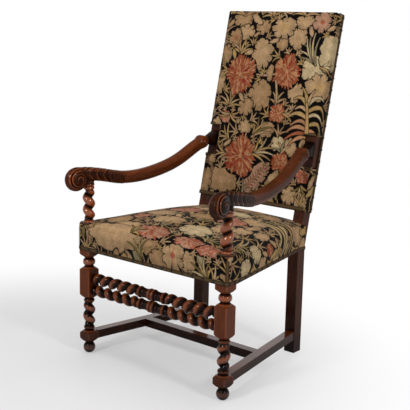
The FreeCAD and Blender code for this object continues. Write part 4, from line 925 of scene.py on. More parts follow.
# Motifs on the seat, placed across and in depth on the panel with its sides folded out
SEAT_LEAVES = (
    (-256, -346, 17, 36, TAN, 4, 0.5), (8, -344, 40, 34, TAN, 5, 1.1),
    (50, -384, 34, 26, TAN, 4, 0.4), (166, -368, 32, 30, BEIGE, 4, 1.6),
    (-40, -386, 16, 26, SAGE, 4, 0.2), (222, -344, 15, 34, SAGE, 4, 0.7),
    (-290, -348, 8, 22, OLIVE, 4, 1.9), (-120, -280, 60, 26, BEIGE, 5, 0.3),
    (-200, -240, 46, 40, TAN, 5, 1.4), (-30, -190, 60, 36, BEIGE, 5, 0.5),
    (110, -220, 56, 40, PALE, 5, 1.0), (-120, -120, 64, 34, BEIGE, 5, 2.2),
    (40, -96, 52, 34, TAN, 5, 0.9), (170, -150, 44, 40, BEIGE, 4, 1.8),
    (-210, -60, 40, 46, TAN, 5, 0.1), (-60, 20, 60, 32, BEIGE, 5, 0.6),
    (70, 40, 54, 34, PALE, 5, 1.2), (170, 0, 40, 42, BEIGE, 5, 2.0),
    (-160, 90, 50, 36, TAN, 5, 1.7), (0, 130, 60, 34, BEIGE, 5, 0.4),
    (140, 120, 44, 36, TAN, 5, 0.8), (-190, 180, 40, 30, BEIGE, 5, 1.3),
    (318, -160, 34, 28, PALE, 5, 0.6), (362, -226, 26, 28, PALE, 4, 1.4),
    (262, 150, 34, 38, BEIGE, 5, 0.3), (254, -74, 20, 30, BEIGE, 5, 0.9),
    (356, -112, 22, 24, BEIGE, 4, 1.6), (344, -10, 22, 22, BEIGE, 4, 1.1),
    (350, 60, 22, 26, TAN, 4, 0.4), (300, 196, 24, 20, BEIGE, 4, 0.2),
    (206, -110, 26, 34, BEIGE, 5, 0.7), (-128, 262, 52, 30, BEIGE, 5, 0.5),
    (122, 258, 46, 32, TAN, 5, 1.4), (0, 284, 38, 22, PALE, 5, 0.9),
    (-352, -180, 32, 46, PALE, 5, 0.6), (-376, -90, 26, 32, BEIGE, 4, 1.4),
    (-300, 100, 40, 48, TAN, 4, 0.3), (-300, -60, 34, 34, BEIGE, 4, 0.9),
    (-344, 30, 28, 32, STRAW, 4, 0.7),
)
SEAT_BLOOMS = (
    (-10, -290, 74, 34), (150, -300, 58, 26), (236, -312, 44, 28), (-90, -40, 70, 46),
    (120, -60, 58, 44), (-160, -180, 34, 26), (40, 190, 66, 34), (-110, 168, 46, 32),
)
SEAT_SPRIGS = (
    ((-60, -120), 80), ((60, -150), 120), ((-150, 10), 60), ((10, 70), 90), ((210, 60), 110),
    ((-230, 30), 70), ((-20, -240), 30), ((-250, -170), 100), ((90, 90), 60), ((-90, 100), 120),
)
SIDE_PLUME = ((246, -160), (266, -156), (286, -176), (304, -196), (326, -222), (334, -246))
SIDE_BLADES = (
    (20, 50, -16, PALE), (34, 66, 22, STRAW), (60, 84, 30, PALE), (84, 118, 64, STRAW), (112, 128, 84, BEIGE),
)


def work_the_seat(places):
    work = Needlework(places, SEAT_SEED)
    work.leaves(SEAT_LEAVES, 0.12)
    work.patch((-140, -338), 112, 52, BEIGE, 6, 0.8)
    work.blooms(SEAT_BLOOMS, ROSE, DULL_PINK, SALMON)
    work.bloom((312, -68), 24, 24, RED, SALMON, PEACH)
    work.bloom((64, 272), 28, 26, ROSE, SALMON, PEACH)
    work.bloom((-366, -20), 26, 34, ROSE, SALMON, PEACH)
    work.flower((112, -362), 40, BEIGE, ROSE, 0.7)
    work.stroke((112, -330), (114, -358), (110, -392), 3.4, ROSE, 0.8)
    work.fan((-26, -402), 92, 70, 5, 84, GREENS, 7, 0.4)
    work.fan((240, -408), 120, 120, 7, 70, [STRAW, OLIVE, PALE], 7, 0.5)
    work.fan((262, -404), 40, 110, 5, 50, [STRAW, PALE], 6.5, 0.5)
    work.fan((-282, -404), 70, 110, 5, 60, [BEIGE, STRAW], 6, 0.3)
    work.fan((-80, -312), 60, 120, 5, 50, GREENS, 7)
    work.fan((190, -272), 70, 150, 7, 60, GREENS, 7, 0.5)
    work.plume((275, -238), SIDE_PLUME, [STRAW, PALE, OLIVE])
    work.fan((390, -292), 60, 120, 5, 46, [STRAW, PALE], 6)
    work.stroke((336, -52), (314, -8), (286, 10), 17, STRAW, 0.5, 2)
    for near, bend, far, colour in SIDE_BLADES:
        work.stroke((176, near), (262, bend), (330, far), 13, colour, 0.3, 2.5)
    work.frond((-240, -40), (-330, 10), (-356, 84), 9, 52, [PALE, OLIVE, SAGE], 7, 55)
    work.fan((-300, -250), 200, 120, 7, 74, [OLIVE, STRAW, PALE], 7, 0.5)
    for spot, aim in SEAT_SPRIGS:
        work.fan(spot, aim, 150, 6, 48, GREENS, 6.5, 0.5)
    work.fill(3)
    return work.finished()


def needlepoint():
    """Wool in small raised stitches, in the colours painted on the cover."""
    shader = Shader("needlepoint", roughness=0.95, sheen_weight=0.03, specular_ior_level=0.05)
    wool = shader.attribute("wool", "Color")
    across, along, _ = shader.attribute("panel", "Vector").parts()
    turn = math.pi / STITCH
    stitch = (across * turn).math("SINE") * (along * turn).math("SINE")
    shade = (stitch * 0.5 + 0.5) * 0.22 + 0.86
    grey = shader.node("CombineXYZ", {number: shade for number in range(3)})
    fuzz = shader.noise(shader.place(), scale=700, detail=2)
    shader.give(base_color=shader.mix(1.0, wool, grey, "MULTIPLY"))
    shader.give(normal=shader.bump(stitch * 0.5 + fuzz, strength=0.5, distance=0.0007))
    return shader.material


# Upholstery: stuffed covers

PRESS_FRAMES, PRESS_FORCE, PRESS_QUALITY = 20, 4, 3


def pressed(draft, held, most):
    """The draft's points after its stuffing has pressed the cover outwards, by a set distance at most."""
    rest = mesh_points(draft)
    group = draft.vertex_groups.new(name="held")
    for level in (0.5, 1.0):
        group.add(np.flatnonzero(np.abs(held - level) < 0.25).tolist(), level, "REPLACE")
    cloth = draft.modifiers.new("cloth", "CLOTH")
    cloth.settings.vertex_group_mass = "held"
    cloth.settings.quality = PRESS_QUALITY
    cloth.settings.use_pressure = True
    cloth.settings.uniform_pressure_force = PRESS_FORCE
    cloth.settings.effector_weights.gravity = 0
    cloth.collision_settings.use_collision = False
    cloth.point_cache.frame_start, cloth.point_cache.frame_end = 1, PRESS_FRAMES
    for number in range(1, PRESS_FRAMES + 1):
        scene.frame_set(number)
    blown = draft.evaluated_get(bpy.context.evaluated_depsgraph_get())
    step = mesh_points(blown) - rest
    draft.modifiers.remove(cloth)
    scene.frame_set(1)
    length = np.linalg.norm(step, axis=1, keepdims=True)
    return rest + step * np.tanh(length / most) * most / np.maximum(length, 1e-6)


def stuffed(name, points, quads, held, most):
    """Points and quads of a stuffed cover, refined."""
    draft = mesh_object(name, points, quads, None)
    move_points(draft, pressed(draft, held, most))
    draft.modifiers.new("finer", "SUBSURF").levels = 2
    finer = draft.evaluated_get(bpy.context.evaluated_depsgraph_get())
    points = mesh_points(finer)
    corners = np.empty(len(finer.data.loops), np.int32)
    finer.data.loops.foreach_get("vertex_index", corners)
    bpy.data.objects.remove(draft)
    return points, corners.reshape(-1, 4)


def kept(points, quads, keep):
    """The quads that are kept, and the points that they use."""
    quads = quads[keep]
    used = np.unique(quads)
    number = np.full(len(points), -1)
    number[used] = np.arange(len(used))
    return points[used], number[quads]


NEEDLEPOINT = needlepoint()


def sew_on(name, points, quads, places, wool, stands_for):
    """A stuffed cover in needlepoint; places are its points on the flat panel."""
    piece = mesh_object(name, points, quads)
    paint_colour(piece, "wool", wool)
    paint_vector(piece, "panel", np.c_[places, np.zeros(len(places))])
    set_material(piece, NEEDLEPOINT)
    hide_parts(*stands_for)


# The seat's cover

CROWN_LINE = eased([(0, 0.12), (0.04, 0.3), (0.14, 0.62), (0.32, 0.92), (0.5, 1), (0.76, 0.72), (1, 0.2)])
SEAT_SPLAY = (SEAT_HALF_FRONT - SEAT_HALF_BACK) / (POST_FRONT - BLOCK_BACK)
SEAT_STEP, SEAT_MARGIN, UNDER_SEAT = 7.0, 12, 8.4
SEAT_LOW = (-SEAT_HALF_FRONT - SEAT_MARGIN, SEAT_FRONT - SEAT_MARGIN, SEAT_BOTTOM - UNDER_SEAT)
SEAT_HIGH = (
    SEAT_HALF_FRONT + SEAT_MARGIN, SEAT_BACK + SEAT_MARGIN, SEAT_EDGE + SEAT_CROWN + SEAT_MARGIN,
)
SEAT_PRESS, SEAT_FILL = 9.0, 0.9
HELD_HEM, HELD_AT_POSTS, HELD_AT_SUPPORTS = 20, 12, 32
EASED_AT_SUPPORTS, EASED_AT_REAR = 42, 8
SIDE_SWELL, FRONT_SWELL, PLAN_CORNER = 7, 9, 9.0
EDGE_ROUND, EDGE_ROUNDER = 11, 17
SIDE_DIP, SIDE_RISE = 3, 7
SUPPORT_HOLE, HOLE_REACH, HOLE_DEEP = 19.5, 1.8, 12
SNUG, POST_GAP = 1.6, 0.4


def seat_half(y):
    share = np.clip((y - BLOCK_BACK) / (POST_FRONT - BLOCK_BACK), 0, 1)
    return SEAT_HALF_FRONT + (SEAT_HALF_BACK - SEAT_HALF_FRONT) * share


def seat_top(x, y):
    share = np.interp((y - SEAT_FRONT) / (SEAT_BACK - SEAT_FRONT), *CROWN_LINE)
    across = 1 - np.clip(np.abs(x) / seat_half(y), 0, 1) ** 1.8
    return SEAT_EDGE + SEAT_CROWN * share * across


def seat_field(x, y, z):
    """Distance from the surface of the seat's cover before it is pressed out."""
    middle = 1 - np.clip(np.abs(x) / seat_half(y), 0, 1) ** 4
    behind = smooth(BLOCK_BACK, BLOCK_BACK + 110, y) * smooth(POST_FRONT, POST_FRONT - 90, y)
    above = smooth(SEAT_BOTTOM + 14, SEAT_BOTTOM + 50, z)
    side = (np.abs(x) - seat_half(y)) / math.hypot(1, SEAT_SPLAY) - SIDE_SWELL * behind * above
    front = SEAT_FRONT - y - FRONT_SWELL * middle * above
    plan = rounded_max(side, np.maximum(front, y - SEAT_BACK), PLAN_CORNER)
    near_front = smooth(SEAT_FRONT + 120, SEAT_FRONT + 60, y)
    edge = EDGE_ROUND + EDGE_ROUNDER * np.maximum(middle * near_front, behind)
    rise = SIDE_RISE * smooth(BLOCK_BACK + 60, POST_FRONT - 110, y) - SIDE_DIP
    body = rounded_max(plan, z - seat_top(x, y) - 2 * middle - behind * (1 - middle) * rise, edge)
    return np.maximum(body, SEAT_BOTTOM - z)


def post_front(z):
    """Depth of the rear posts' front at a height."""
    return POST_FRONT + np.maximum(z - BEND, 0) * LEAN


def post_distance(points):
    """Distances outside the rear posts, sideways and in depth, negative inside them."""
    x, y, z = points.T
    beside = np.abs(np.abs(x) - POST_X) - POST_HALF
    return beside, np.abs(y - post_front(z) - POST_HALF) - POST_HALF


def support_distance(points):
    """Distance from the axis of the nearer arm support."""
    return np.hypot(np.abs(points[:, 0]) - LEG_X, points[:, 1] - LEG_Y)


def seat_draft():
    """The seat's cover before it is pressed out, and how firmly each point is held."""
    points, quads = surface_of(seat_field(*grid_of(SEAT_LOW, SEAT_HIGH, SEAT_STEP)), SEAT_LOW, SEAT_STEP)
    points, quads = kept(points, quads, points[quads].mean(axis=1)[:, 2] > SEAT_BOTTOM + 0.6)
    beside, ahead = post_distance(points)
    from_support = support_distance(points)
    held = np.where(points[:, 2] < SEAT_BOTTOM + HELD_HEM, 1.0, 0.0)
    held[np.maximum(beside, ahead) < HELD_AT_POSTS] = 1.0
    held[(from_support < EASED_AT_SUPPORTS) | (points[:, 1] > SEAT_BACK - EASED_AT_REAR)] = 0.5
    held[from_support < HELD_AT_SUPPORTS] = 1.0
    return points, quads, held


def fitted_to_wood(points, quads):
    """The seat's cover cut round the arm supports and drawn snug to the rear posts."""
    sign = np.sign(points[:, 0])
    radius = support_distance(points)
    rim = (points[:, 2] > SEAT_EDGE - HOLE_DEEP) & (np.abs(radius - SUPPORT_HOLE) < HOLE_REACH)
    points[rim, 0] = sign[rim] * (LEG_X + (np.abs(points[rim, 0]) - LEG_X) * SUPPORT_HOLE / radius[rim])
    points[rim, 1] = LEG_Y + (points[rim, 1] - LEG_Y) * SUPPORT_HOLE / radius[rim]
    beside, ahead = post_distance(points)
    snug = (np.abs(beside) < SNUG) & (ahead < SNUG)
    outward = sign[snug] * np.sign(np.abs(points[snug, 0]) - POST_X)
    points[snug, 0] += outward * (POST_GAP - beside[snug])
    front = post_front(points[:, 2])
    snug = (np.abs(ahead) < SNUG) & (beside < SNUG) & (points[:, 1] < front + POST_HALF)
    points[snug, 1] = front[snug] - POST_GAP
    middle = points[quads].mean(axis=1)
    in_hole = (support_distance(middle) < SUPPORT_HOLE) & (middle[:, 2] > SEAT_EDGE - HOLE_DEEP)
    clear = (post_distance(middle)[0] > 0) | (middle[:, 1] < post_front(middle[:, 2]))
    return kept(points, quads, ~in_hole & clear)


def seat_places(points):
    """Where the seat's points lie on the flat panel: its front, rear and sides fold out from the top."""
    x, y, z = points.T
    drop = np.maximum(seat_top(x, y) - 4 - z, 0)
    from_side = seat_half(y) - np.abs(x)
    on_front, on_rear = y - SEAT_FRONT < from_side, SEAT_BACK - y < from_side
    on_side = ~(on_front | on_rear)
    return np.c_[x + np.sign(x) * drop * on_side, y + drop * (on_rear * 1.0 - on_front)]


def cover_the_seat():
    points, quads = fitted_to_wood(*stuffed("seat_draft", *seat_draft(), SEAT_PRESS))
    places = seat_places(points)
    stands_for = ("seat_cover", "seat_stuffing")
    sew_on("needlepoint_seat", points, quads, places, work_the_seat(places), stands_for)


# The back's cover, in the back's own frame: across, in depth and up along the lean

BACK_LINE = eased([(0, 0.1), (0.07, 0.5), (0.25, 0.9), (0.5, 1), (0.75, 0.9), (0.93, 0.5), (1, 0.1)])
BACK_STEP, BACK_MARGIN, BEHIND_BACK = 6.4, 10, 8
BACK_GRID_LOW = (-BACK_HALF - BACK_MARGIN, BACK_FRONT - BACK_CROWN - BACK_MARGIN, BACK_LOW - BACK_MARGIN)
BACK_GRID_HIGH = (BACK_HALF + BACK_MARGIN, BACK_REAR + BEHIND_BACK, BACK_TOP + BACK_MARGIN)
BACK_PRESS, BACK_FILL = 6.0, 0.8
PLAN_ROUND, FRONT_ROUND, TIGHTER, TIGHT_REACH = 4.0, 6.0, 2.0, 30
HELD_EDGE, HELD_DEEP, EASED_EDGE = 8, 4, 20
NOTCH_IN, NOTCH_LOW, NOTCH_HIGH = 183.0, 277.0, 381.0
NOTCH_SLOPE, NOTCH_GAP = 5, 0.6


def from_back(local):
    """Places in the chair of points given across, in depth and up along the leaning back."""
    across, depth, up = np.asarray(local, float).T
    y = POST_FRONT + depth * LEAN_COS + up * LEAN_SIN
    return np.c_[across, y, BEND + up * LEAN_COS - depth * LEAN_SIN]


def back_front(across, up):
    share = np.interp((up - BACK_LOW) / (BACK_TOP - BACK_LOW), *BACK_LINE)
    return BACK_FRONT - BACK_CROWN * share * (1 - np.clip(np.abs(across) / BACK_HALF, 0, 1) ** 2)


def back_field(across, depth, up):
    """Distance from the surface of the back's cover before it is pressed out."""
    ends = np.maximum(BACK_LOW - up, up - BACK_TOP)
    plan = rounded_max(np.abs(across) - BACK_HALF, ends, PLAN_ROUND)
    tight = TIGHTER * smooth(0, TIGHT_REACH, BACK_HALF - np.abs(across)) * smooth(0, TIGHT_REACH, -ends)
    body = rounded_max(plan, back_front(across, up) + tight - depth, FRONT_ROUND)
    return np.maximum(body, depth - BACK_REAR)


def back_draft():
    """The back's cover before it is pressed out, and how firmly each point is held."""
    grid = grid_of(BACK_GRID_LOW, BACK_GRID_HIGH, BACK_STEP)
    local, quads = surface_of(back_field(*grid), BACK_GRID_LOW, BACK_STEP)
    local, quads = kept(local, quads, local[quads].mean(axis=1)[:, 1] < BACK_REAR - 0.8)
    across, depth, up = local.T
    inside = np.minimum(BACK_HALF - np.abs(across), np.minimum(up - BACK_LOW, BACK_TOP - up))
    eased_edge = np.where(inside < EASED_EDGE, 0.5, 0.0)
    held = np.where((inside < HELD_EDGE) | (depth > HELD_DEEP), 1.0, eased_edge)
    return local, quads, held


def cover_the_back():
    local, quads = stuffed("back_draft", *back_draft(), BACK_PRESS)
    side, sign = np.abs(local[:, 0]), np.sign(local[:, 0])
    depth, up = local[:, 1], local[:, 2]
    places = np.c_[local[:, 0] + sign * np.maximum(depth - BACK_FRONT, 0), up]
    # The cover is laid down to the posts round the arms, and cut away where it lies flat on them
    notch = smooth(NOTCH_IN - NOTCH_SLOPE, NOTCH_IN, side) * smooth(NOTCH_LOW - NOTCH_SLOPE, NOTCH_LOW, up)
    notch = notch * smooth(NOTCH_HIGH + NOTCH_SLOPE, NOTCH_HIGH, up)
    local[:, 1] += notch * (np.maximum(depth, -NOTCH_GAP) - depth)
    local[:, 0] += notch * sign * (np.minimum(side, POST_X + POST_HALF + NOTCH_GAP) - side)
    bare = (notch[quads] > 0.99).all(axis=1)
    both, quads = kept(np.c_[local, places], quads, ~bare)
    local, places = both[:, :3], both[:, 3:]
    stands_for = ("back_cover", "back_stuffing")
    sew_on("needlepoint_back", from_back(local), quads, places, work_the_back(places), stands_for)


cover_the_seat()
cover_the_back()

# Upholstery: braid

BRAID_WIDE, BRAID_HIGH, BRAID_OUT = 13.0, 0.8, 0.3
CORNER_BRAID, SUPPORT_BRAID, ARM_BRAID = 11.0, 10.5, 11.0
SUPPORT_RING, CORNER_IN, CORNER_SHORT = 25, 2.2, 14
SEAT_TURN, BACK_TURN, TURN_POINTS = 9.0, 4.0, 7
PLAIT_PITCH, PLAIT_SWING, STRAND_HALF = 15.0, 4.0, 2.7
STEP_ALONG, BRAID_COLUMNS = 1.3, 14


def plait(along, across):
    """Height of a three-strand plait."""
    height = np.full(np.broadcast(along, across).shape, 0.25)
    for strand in range(3):
        phase = 2 * np.pi * (along / PLAIT_PITCH + strand / 3)
        offset = across - PLAIT_SWING * np.sin(phase)
        lift = 0.85 + 0.35 * np.cos(2 * phase)
        bulge = 1 - (offset / STRAND_HALF) ** 2
        height = np.maximum(height, np.where(bulge > 0, lift * np.sqrt(np.maximum(bulge, 0)) + 0.6, 0))
    return height * BRAID_HIGH / 1.8


def braid_material():
    shader = Shader("braid", roughness=0.9, sheen_weight=0.03, specular_ior_level=0.08)
    height = shader.attribute("plait", "Fac")
    thread = shader.noise(shader.place(), scale=420, detail=2)
    # The braid's colour follows the plait's height: painted shade, near black, between its strands
    colour = shader.mix(height.between(0.25, 0.78), tone(20, 15, 11), tone(84, 67, 45))
    colour = shader.mix(thread.between(0.45, 0.65) * 0.6, colour, tone(66, 48, 36))
    shader.give(base_color=colour, normal=shader.bump(thread, strength=0.3, distance=0.0006))
    return shader.material


BRAID = braid_material()


def ribbon(name, line, outward, wide=BRAID_WIDE, stands_for=None):
    """A plaited braid along a line of points, on a surface with the given outward directions."""
    line, outward = np.asarray(line, float), np.asarray(outward, float)
    gone = np.r_[0, np.cumsum(np.linalg.norm(np.diff(line, axis=0), axis=1))]
    along = np.linspace(0, gone[-1], max(8, round(gone[-1] / STEP_ALONG)))
    spot = np.stack([np.interp(along, gone, part) for part in line.T], 1)
    out = np.stack([np.interp(along, gone, part) for part in outward.T], 1)
    out /= np.linalg.norm(out, axis=1, keepdims=True)
    over = np.cross(out, np.gradient(spot, axis=0))
    over /= np.linalg.norm(over, axis=1, keepdims=True)
    across = np.linspace(-wide / 2, wide / 2, BRAID_COLUMNS)
    height = plait(along[:, None], across[None, :] * BRAID_WIDE / wide)
    height[:, [0, -1]] = 0.15
    points = spot[:, None] + over[:, None] * across[None, :, None] + out[:, None] * height[:, :, None]
    piece = mesh_object(name, points.reshape(-1, 3), grid_quads(*height.shape))
    paint_number(piece, "plait", height.ravel())
    set_material(piece, BRAID)
    if stands_for:
        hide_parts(stands_for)


def rounded_turn(before, corner, after, radius):
    """Points round a corner of a line."""
    first = (before - corner) / np.linalg.norm(before - corner)
    last = (after - corner) / np.linalg.norm(after - corner)
    share = np.linspace(0, 1, TURN_POINTS)[:, None]
    return bent(corner + radius * first, corner, corner + radius * last, share)


def braid_line(corners, radius):
    """A line through corners that are rounded."""
    corners = np.asarray(corners, float)
    turns = [rounded_turn(*three, radius) for three in zip(corners, corners[1:], corners[2:])]
    return np.concatenate([corners[:1], *turns, corners[-1:]])


def in_back(directions):
    """Directions in the chair of those given in the back's own frame."""
    directions = np.asarray(directions, float)
    return from_back(directions) - from_back(np.zeros_like(directions))


def braid_the_seat():
    half_front, half_back = SEAT_HALF_FRONT + BRAID_OUT, SEAT_HALF_BACK + BRAID_OUT
    right = [(half_front, SEAT_FRONT - BRAID_OUT), (half_front, BLOCK_BACK), (half_back, POST_FRONT),
             (half_back, POST_FRONT + BACK_REAR)]
    plan = [(-x, y) for x, y in right[::-1]] + right
    line = braid_line([(x, y, SEAT_BOTTOM + BRAID_WIDE / 2) for x, y in plan], SEAT_TURN)
    ahead = np.gradient(line, axis=0)
    outward = np.c_[ahead[:, 1], -ahead[:, 0], np.zeros(len(line))]
    ribbon("seat_edge_braid", line, outward, stands_for="seat_braid")
    high = np.linspace(SEAT_BOTTOM + BRAID_WIDE, SEAT_EDGE - CORNER_SHORT, 12)
    angle = np.linspace(0, 2 * math.pi, 49)
    level = np.full(len(angle), SEAT_EDGE)
    for side, sign in SIDES:
        corner = [(sign * (SEAT_HALF_FRONT - CORNER_IN), SEAT_FRONT + CORNER_IN, z) for z in high]
        outward = np.tile((sign, -1, 0), (len(high), 1))
        ribbon(f"corner_braid_{side}", corner, outward, CORNER_BRAID)
        x, y = sign * LEG_X + SUPPORT_RING * np.cos(angle), LEG_Y + SUPPORT_RING * np.sin(angle)
        outward = np.tile((0, 0, 1), (len(angle), 1))
        ribbon(f"support_braid_{side}", np.c_[x, y, level], outward, SUPPORT_BRAID)


def braid_the_back():
    half, top, depth = BACK_HALF + BRAID_OUT, BACK_TOP + BRAID_OUT, BACK_REAR - BRAID_WIDE / 2
    corners = [(half, BACK_LOW), (half, top), (-half, top), (-half, BACK_LOW)]
    hoop = braid_line([(across, depth, up) for across, up in corners], BACK_TURN)
    ahead = np.gradient(hoop, axis=0)
    outward = in_back(np.c_[ahead[:, 2], np.zeros(len(hoop)), -ahead[:, 0]])
    ribbon("back_edge_braid", from_back(hoop), outward, stands_for="back_braid")
    across = np.linspace(-BACK_HALF + 3, BACK_HALF - 3, 40)
    up = np.full(len(across), BACK_LOW + BRAID_WIDE / 2 + 2)
    forward = in_back(np.tile((0, -1, 0), (len(across), 1)))
    low_edge = np.c_[across, back_front(across, up) - 0.4, up]
    ribbon("back_low_braid", from_back(low_edge), forward)
    across = np.linspace(NOTCH_IN - 3, BACK_HALF - 4, 8)
    for side, sign in SIDES:
        for name, up in (("upper", NOTCH_HIGH + NOTCH_SLOPE), ("lower", NOTCH_LOW - NOTCH_SLOPE)):
            front = back_front(BACK_HALF - 12, up) - 0.5
            strip = from_back([(sign * x, front, up) for x in across])
            ribbon(f"arm_braid_{name}_{side}", strip, forward[:8], ARM_BRAID)


braid_the_seat()
braid_the_back()

# Upholstery: lining, webbing and hessian

STRAP = 50.0
FINE_STEP, COARSE_STEP = 6, 8
# Heights of the cloths over the seat's rails and in front of the back's posts
LONG_OVER, UPRIGHT_OVER, CROSS_OVER, HESSIAN_OVER = 0.9, 0.8, 2.4, 3.7
# Places of the first straps, and the steps between straps
FIRST_LONG, LONG_PITCH = -163, 81.5
FIRST_CROSS, CROSS_PITCH = -236, 92.875
FIRST_UPRIGHT, UPRIGHT_PITCH = -141, 94
CLOTH_NEAR, CLOTH_FAR = LEG_Y - 18.5, POST_FRONT + 36
SEAT_RAILS = ["seat_rail_front", "seat_rail_rear", "seat_rail_left", "seat_rail_right"]


def woven(name, light, dark, pitch, stripe=None):
    """A plain weave, with a stripe near each edge of a strap if one is given."""
    shader = Shader(name, roughness=0.95, sheen_weight=0.03, specular_ior_level=0.08)
    across, along, _ = shader.attribute("panel", "Vector").parts()
    turn = math.pi / pitch
    weave = (across * turn).math("SINE") * (along * turn).math("SINE")
    darkening = shader.noise(shader.place(), scale=14, detail=4)
    slub = shader.noise(shader.place().times((0.06, 1, 1)), scale=300, detail=2)
    # The colour follows the weave's height: painted shade where the threads dip
    colour = shader.mix(weave * 0.5 + 0.5, dark, light)
    colour = shader.mix(darkening.between(0.4, 0.7) * 0.5 + slub.between(0.45, 0.7) * 0.35, colour, dark)
    if stripe:
        edge = abs(across - STRAP / 2)
        colour = shader.mix(edge.between(15.5, 16) * (1 - edge.between(19, 19.5)), colour, stripe)
    shader.give(base_color=colour, normal=shader.bump(weave, strength=0.4, distance=0.0006))
    return shader.material


CLOTHS = {
    "lining": woven("lining", tone(118, 92, 66), tone(74, 55, 39), 1.4),
    "webbing": woven("webbing", tone(172, 150, 116), tone(128, 106, 78), 1.6, tone(92, 50, 40)),
    "hessian": woven("hessian", tone(164, 138, 98), tone(104, 82, 54), 1.5),
}


def stretch(name, kind, at, size, step, stands_for=None, cut=None):
    """A stretched cloth; at gives places for shares across and along it, cut a share of its size that is not
    used.
    """
    wide, long = size
    columns, rows = max(3, round(wide / step)), max(3, round(long / step))
    shares = np.meshgrid(np.linspace(0, 1, columns), np.linspace(0, 1, rows))
    across, along = (share.ravel() for share in shares)
    piece = mesh_object(name, at(across, along), grid_quads(rows, columns)[:, [0, 3, 2, 1]])
    paint_vector(piece, "panel", np.c_[across * wide, along * long, np.zeros(rows * columns)])
    set_material(piece, CLOTHS[kind])
    more = {"area": cut * wide * long * MM * MM} if cut else {}
    wide * MM
    long * MM
    if stands_for:
        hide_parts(stands_for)


def line_the_back():
    half, long = BACK_HALF - 3, BACK_TOP - BACK_LOW - 4

    def lined(across, along):
        """The lining: puckered along its tacked edges, hollow between the posts."""
        x, up = (2 * across - 1) * half, BACK_LOW + 2 + along * long
        near = np.minimum(half - np.abs(x), np.minimum(up - BACK_LOW, BACK_TOP - up))
        pucker = 1.0 * np.cos(2 * np.pi * (x + up) / 40) * smooth(45, 3, near)
        sag = -2.2 * smooth(24, 120, near)
        return from_back(np.c_[x, BACK_REAR + 1.6 + pucker + sag * (np.abs(x) < POST_X - 16), up])

    stretch("rear_lining", "lining", lined, (2 * half, long), COARSE_STEP, "back_lining")


def waved(along, number, high):
    """Rise and dip of a strap, in turn with its neighbours."""
    return high * np.sin(2 * np.pi * along * 2.6 + number * np.pi)


def web_the_seat():
    long = CLOTH_FAR - CLOTH_NEAR
    for number in range(5):
        middle = FIRST_LONG + LONG_PITCH * number
        y = FIRST_CROSS + CROSS_PITCH * number
        half = seat_half(y) - 4.8

        def long_strap(across, along):
            lift = np.minimum(waved(along, number, 0.7), 0.4)
            x = middle + (across - 0.5) * STRAP
            return np.c_[x, CLOTH_NEAR + along * long, RAIL_TOP + LONG_OVER + lift]

        def cross_strap(across, along):
            lift = waved(along, number, 0.5)
            x, depth = (2 * along - 1) * half, y + (across - 0.5) * STRAP
            return np.c_[x, depth, RAIL_TOP + CROSS_OVER + lift]

        for kind, at, size, rails in (("long", long_strap, long, SEAT_RAILS[:2]),
                                      ("cross", cross_strap, 2 * half, SEAT_RAILS[2:])):
            stands_for = None if number else f"seat_webbing_{kind}"
            name = f"seat_strap_{kind}_{number + 1}"
            stretch(name, "webbing", at, (STRAP, size), FINE_STEP, stands_for)

    def seat_hessian(across, along):
        y = CLOTH_NEAR + along * long
        half = np.where(y > POST_FRONT, POST_X - 21, seat_half(y) - 7)
        half = np.where(y < BLOCK_BACK + 1, LEG_X - 23, half)
        return np.c_[(2 * across - 1) * half, y, np.full(len(y), RAIL_TOP + HESSIAN_OVER)]

    size = (2 * (SEAT_HALF_FRONT - 7), long)
    stretch("seat_hessian_cloth", "hessian", seat_hessian, size, FINE_STEP, "seat_hessian", 0.86)


def web_the_back():
    long = BACK_TOP - BACK_LOW - 48
    for number in range(4):
        middle = FIRST_UPRIGHT + UPRIGHT_PITCH * number

        def upright_strap(across, along):
            x = middle + (across - 0.5) * STRAP
            return from_back(np.c_[x, np.full(len(x), -UPRIGHT_OVER), BACK_LOW + 20 + along * long])

        stands_for = None if number else "back_webbing"
        name = f"back_strap_upright_{number + 1}"
        stretch(name, "webbing", upright_strap, (STRAP, long), COARSE_STEP, stands_for)
    for number in range(6):
        up = BACK_LOW + (number + 1) / 7 * (BACK_TOP - BACK_LOW - 6.5)
        half = NOTCH_IN - 5 if NOTCH_LOW - 25 < up < NOTCH_HIGH + 25 else POST_X - 4

        def level_strap(across, along):
            x = (2 * along - 1) * half
            return from_back(np.c_[x, np.full(len(x), -CROSS_OVER), up + (across - 0.5) * STRAP])

        name = f"back_strap_level_{number + 1}"
        stretch(name, "webbing", level_strap, (STRAP, 2 * half), COARSE_STEP)
    low, long, widest = BACK_LOW + 10, BACK_TOP - BACK_LOW - 27, POST_X + 17

    def back_hessian(across, along):
        up = low + along * long
        half = np.where((up > NOTCH_LOW - 6) & (up < NOTCH_HIGH + 6), NOTCH_IN - 5, widest)
        return from_back(np.c_[(2 * across - 1) * half, np.full(len(up), -HESSIAN_OVER), up])

    size = (2 * widest, long)
    stretch("back_hessian_cloth", "hessian", back_hessian, size, FINE_STEP, "back_hessian", 0.96)


line_the_back()
web_the_seat()
web_the_back()

# Camera, floor and light

YAW, PITCH, ROLL = (math.radians(angle) for angle in (39.7155, 11.535, 1.302))
CAMERA_PLACE = (1.8764, -2.3066, 1.1184)
PHOTO_WIDTH, FOCAL_PIXELS, SENSOR = 410, 906.2157, 36
FLOOR_RADIUS, WALL_HIGH, WALL_SIDES = 30, 12, 24
LIT_PLACE = Vector((0, 0, 0.55))
WORLD_STRENGTH = 0.38
# Name, place, width in metres, watts, and whether it shows in polished wood
LAMPS = (
    ("key", (0.0, -2.9, 2.3), 0.5, 64, True),
    ("fill", (3.0, -0.6, 2.0), 0.5, 50, True),
    ("top", (-0.2, 0.0, 3.0), 2.2, 34, False),
    ("rear", (0.2, 2.9, 0.9), 1.2, 28, False),
)


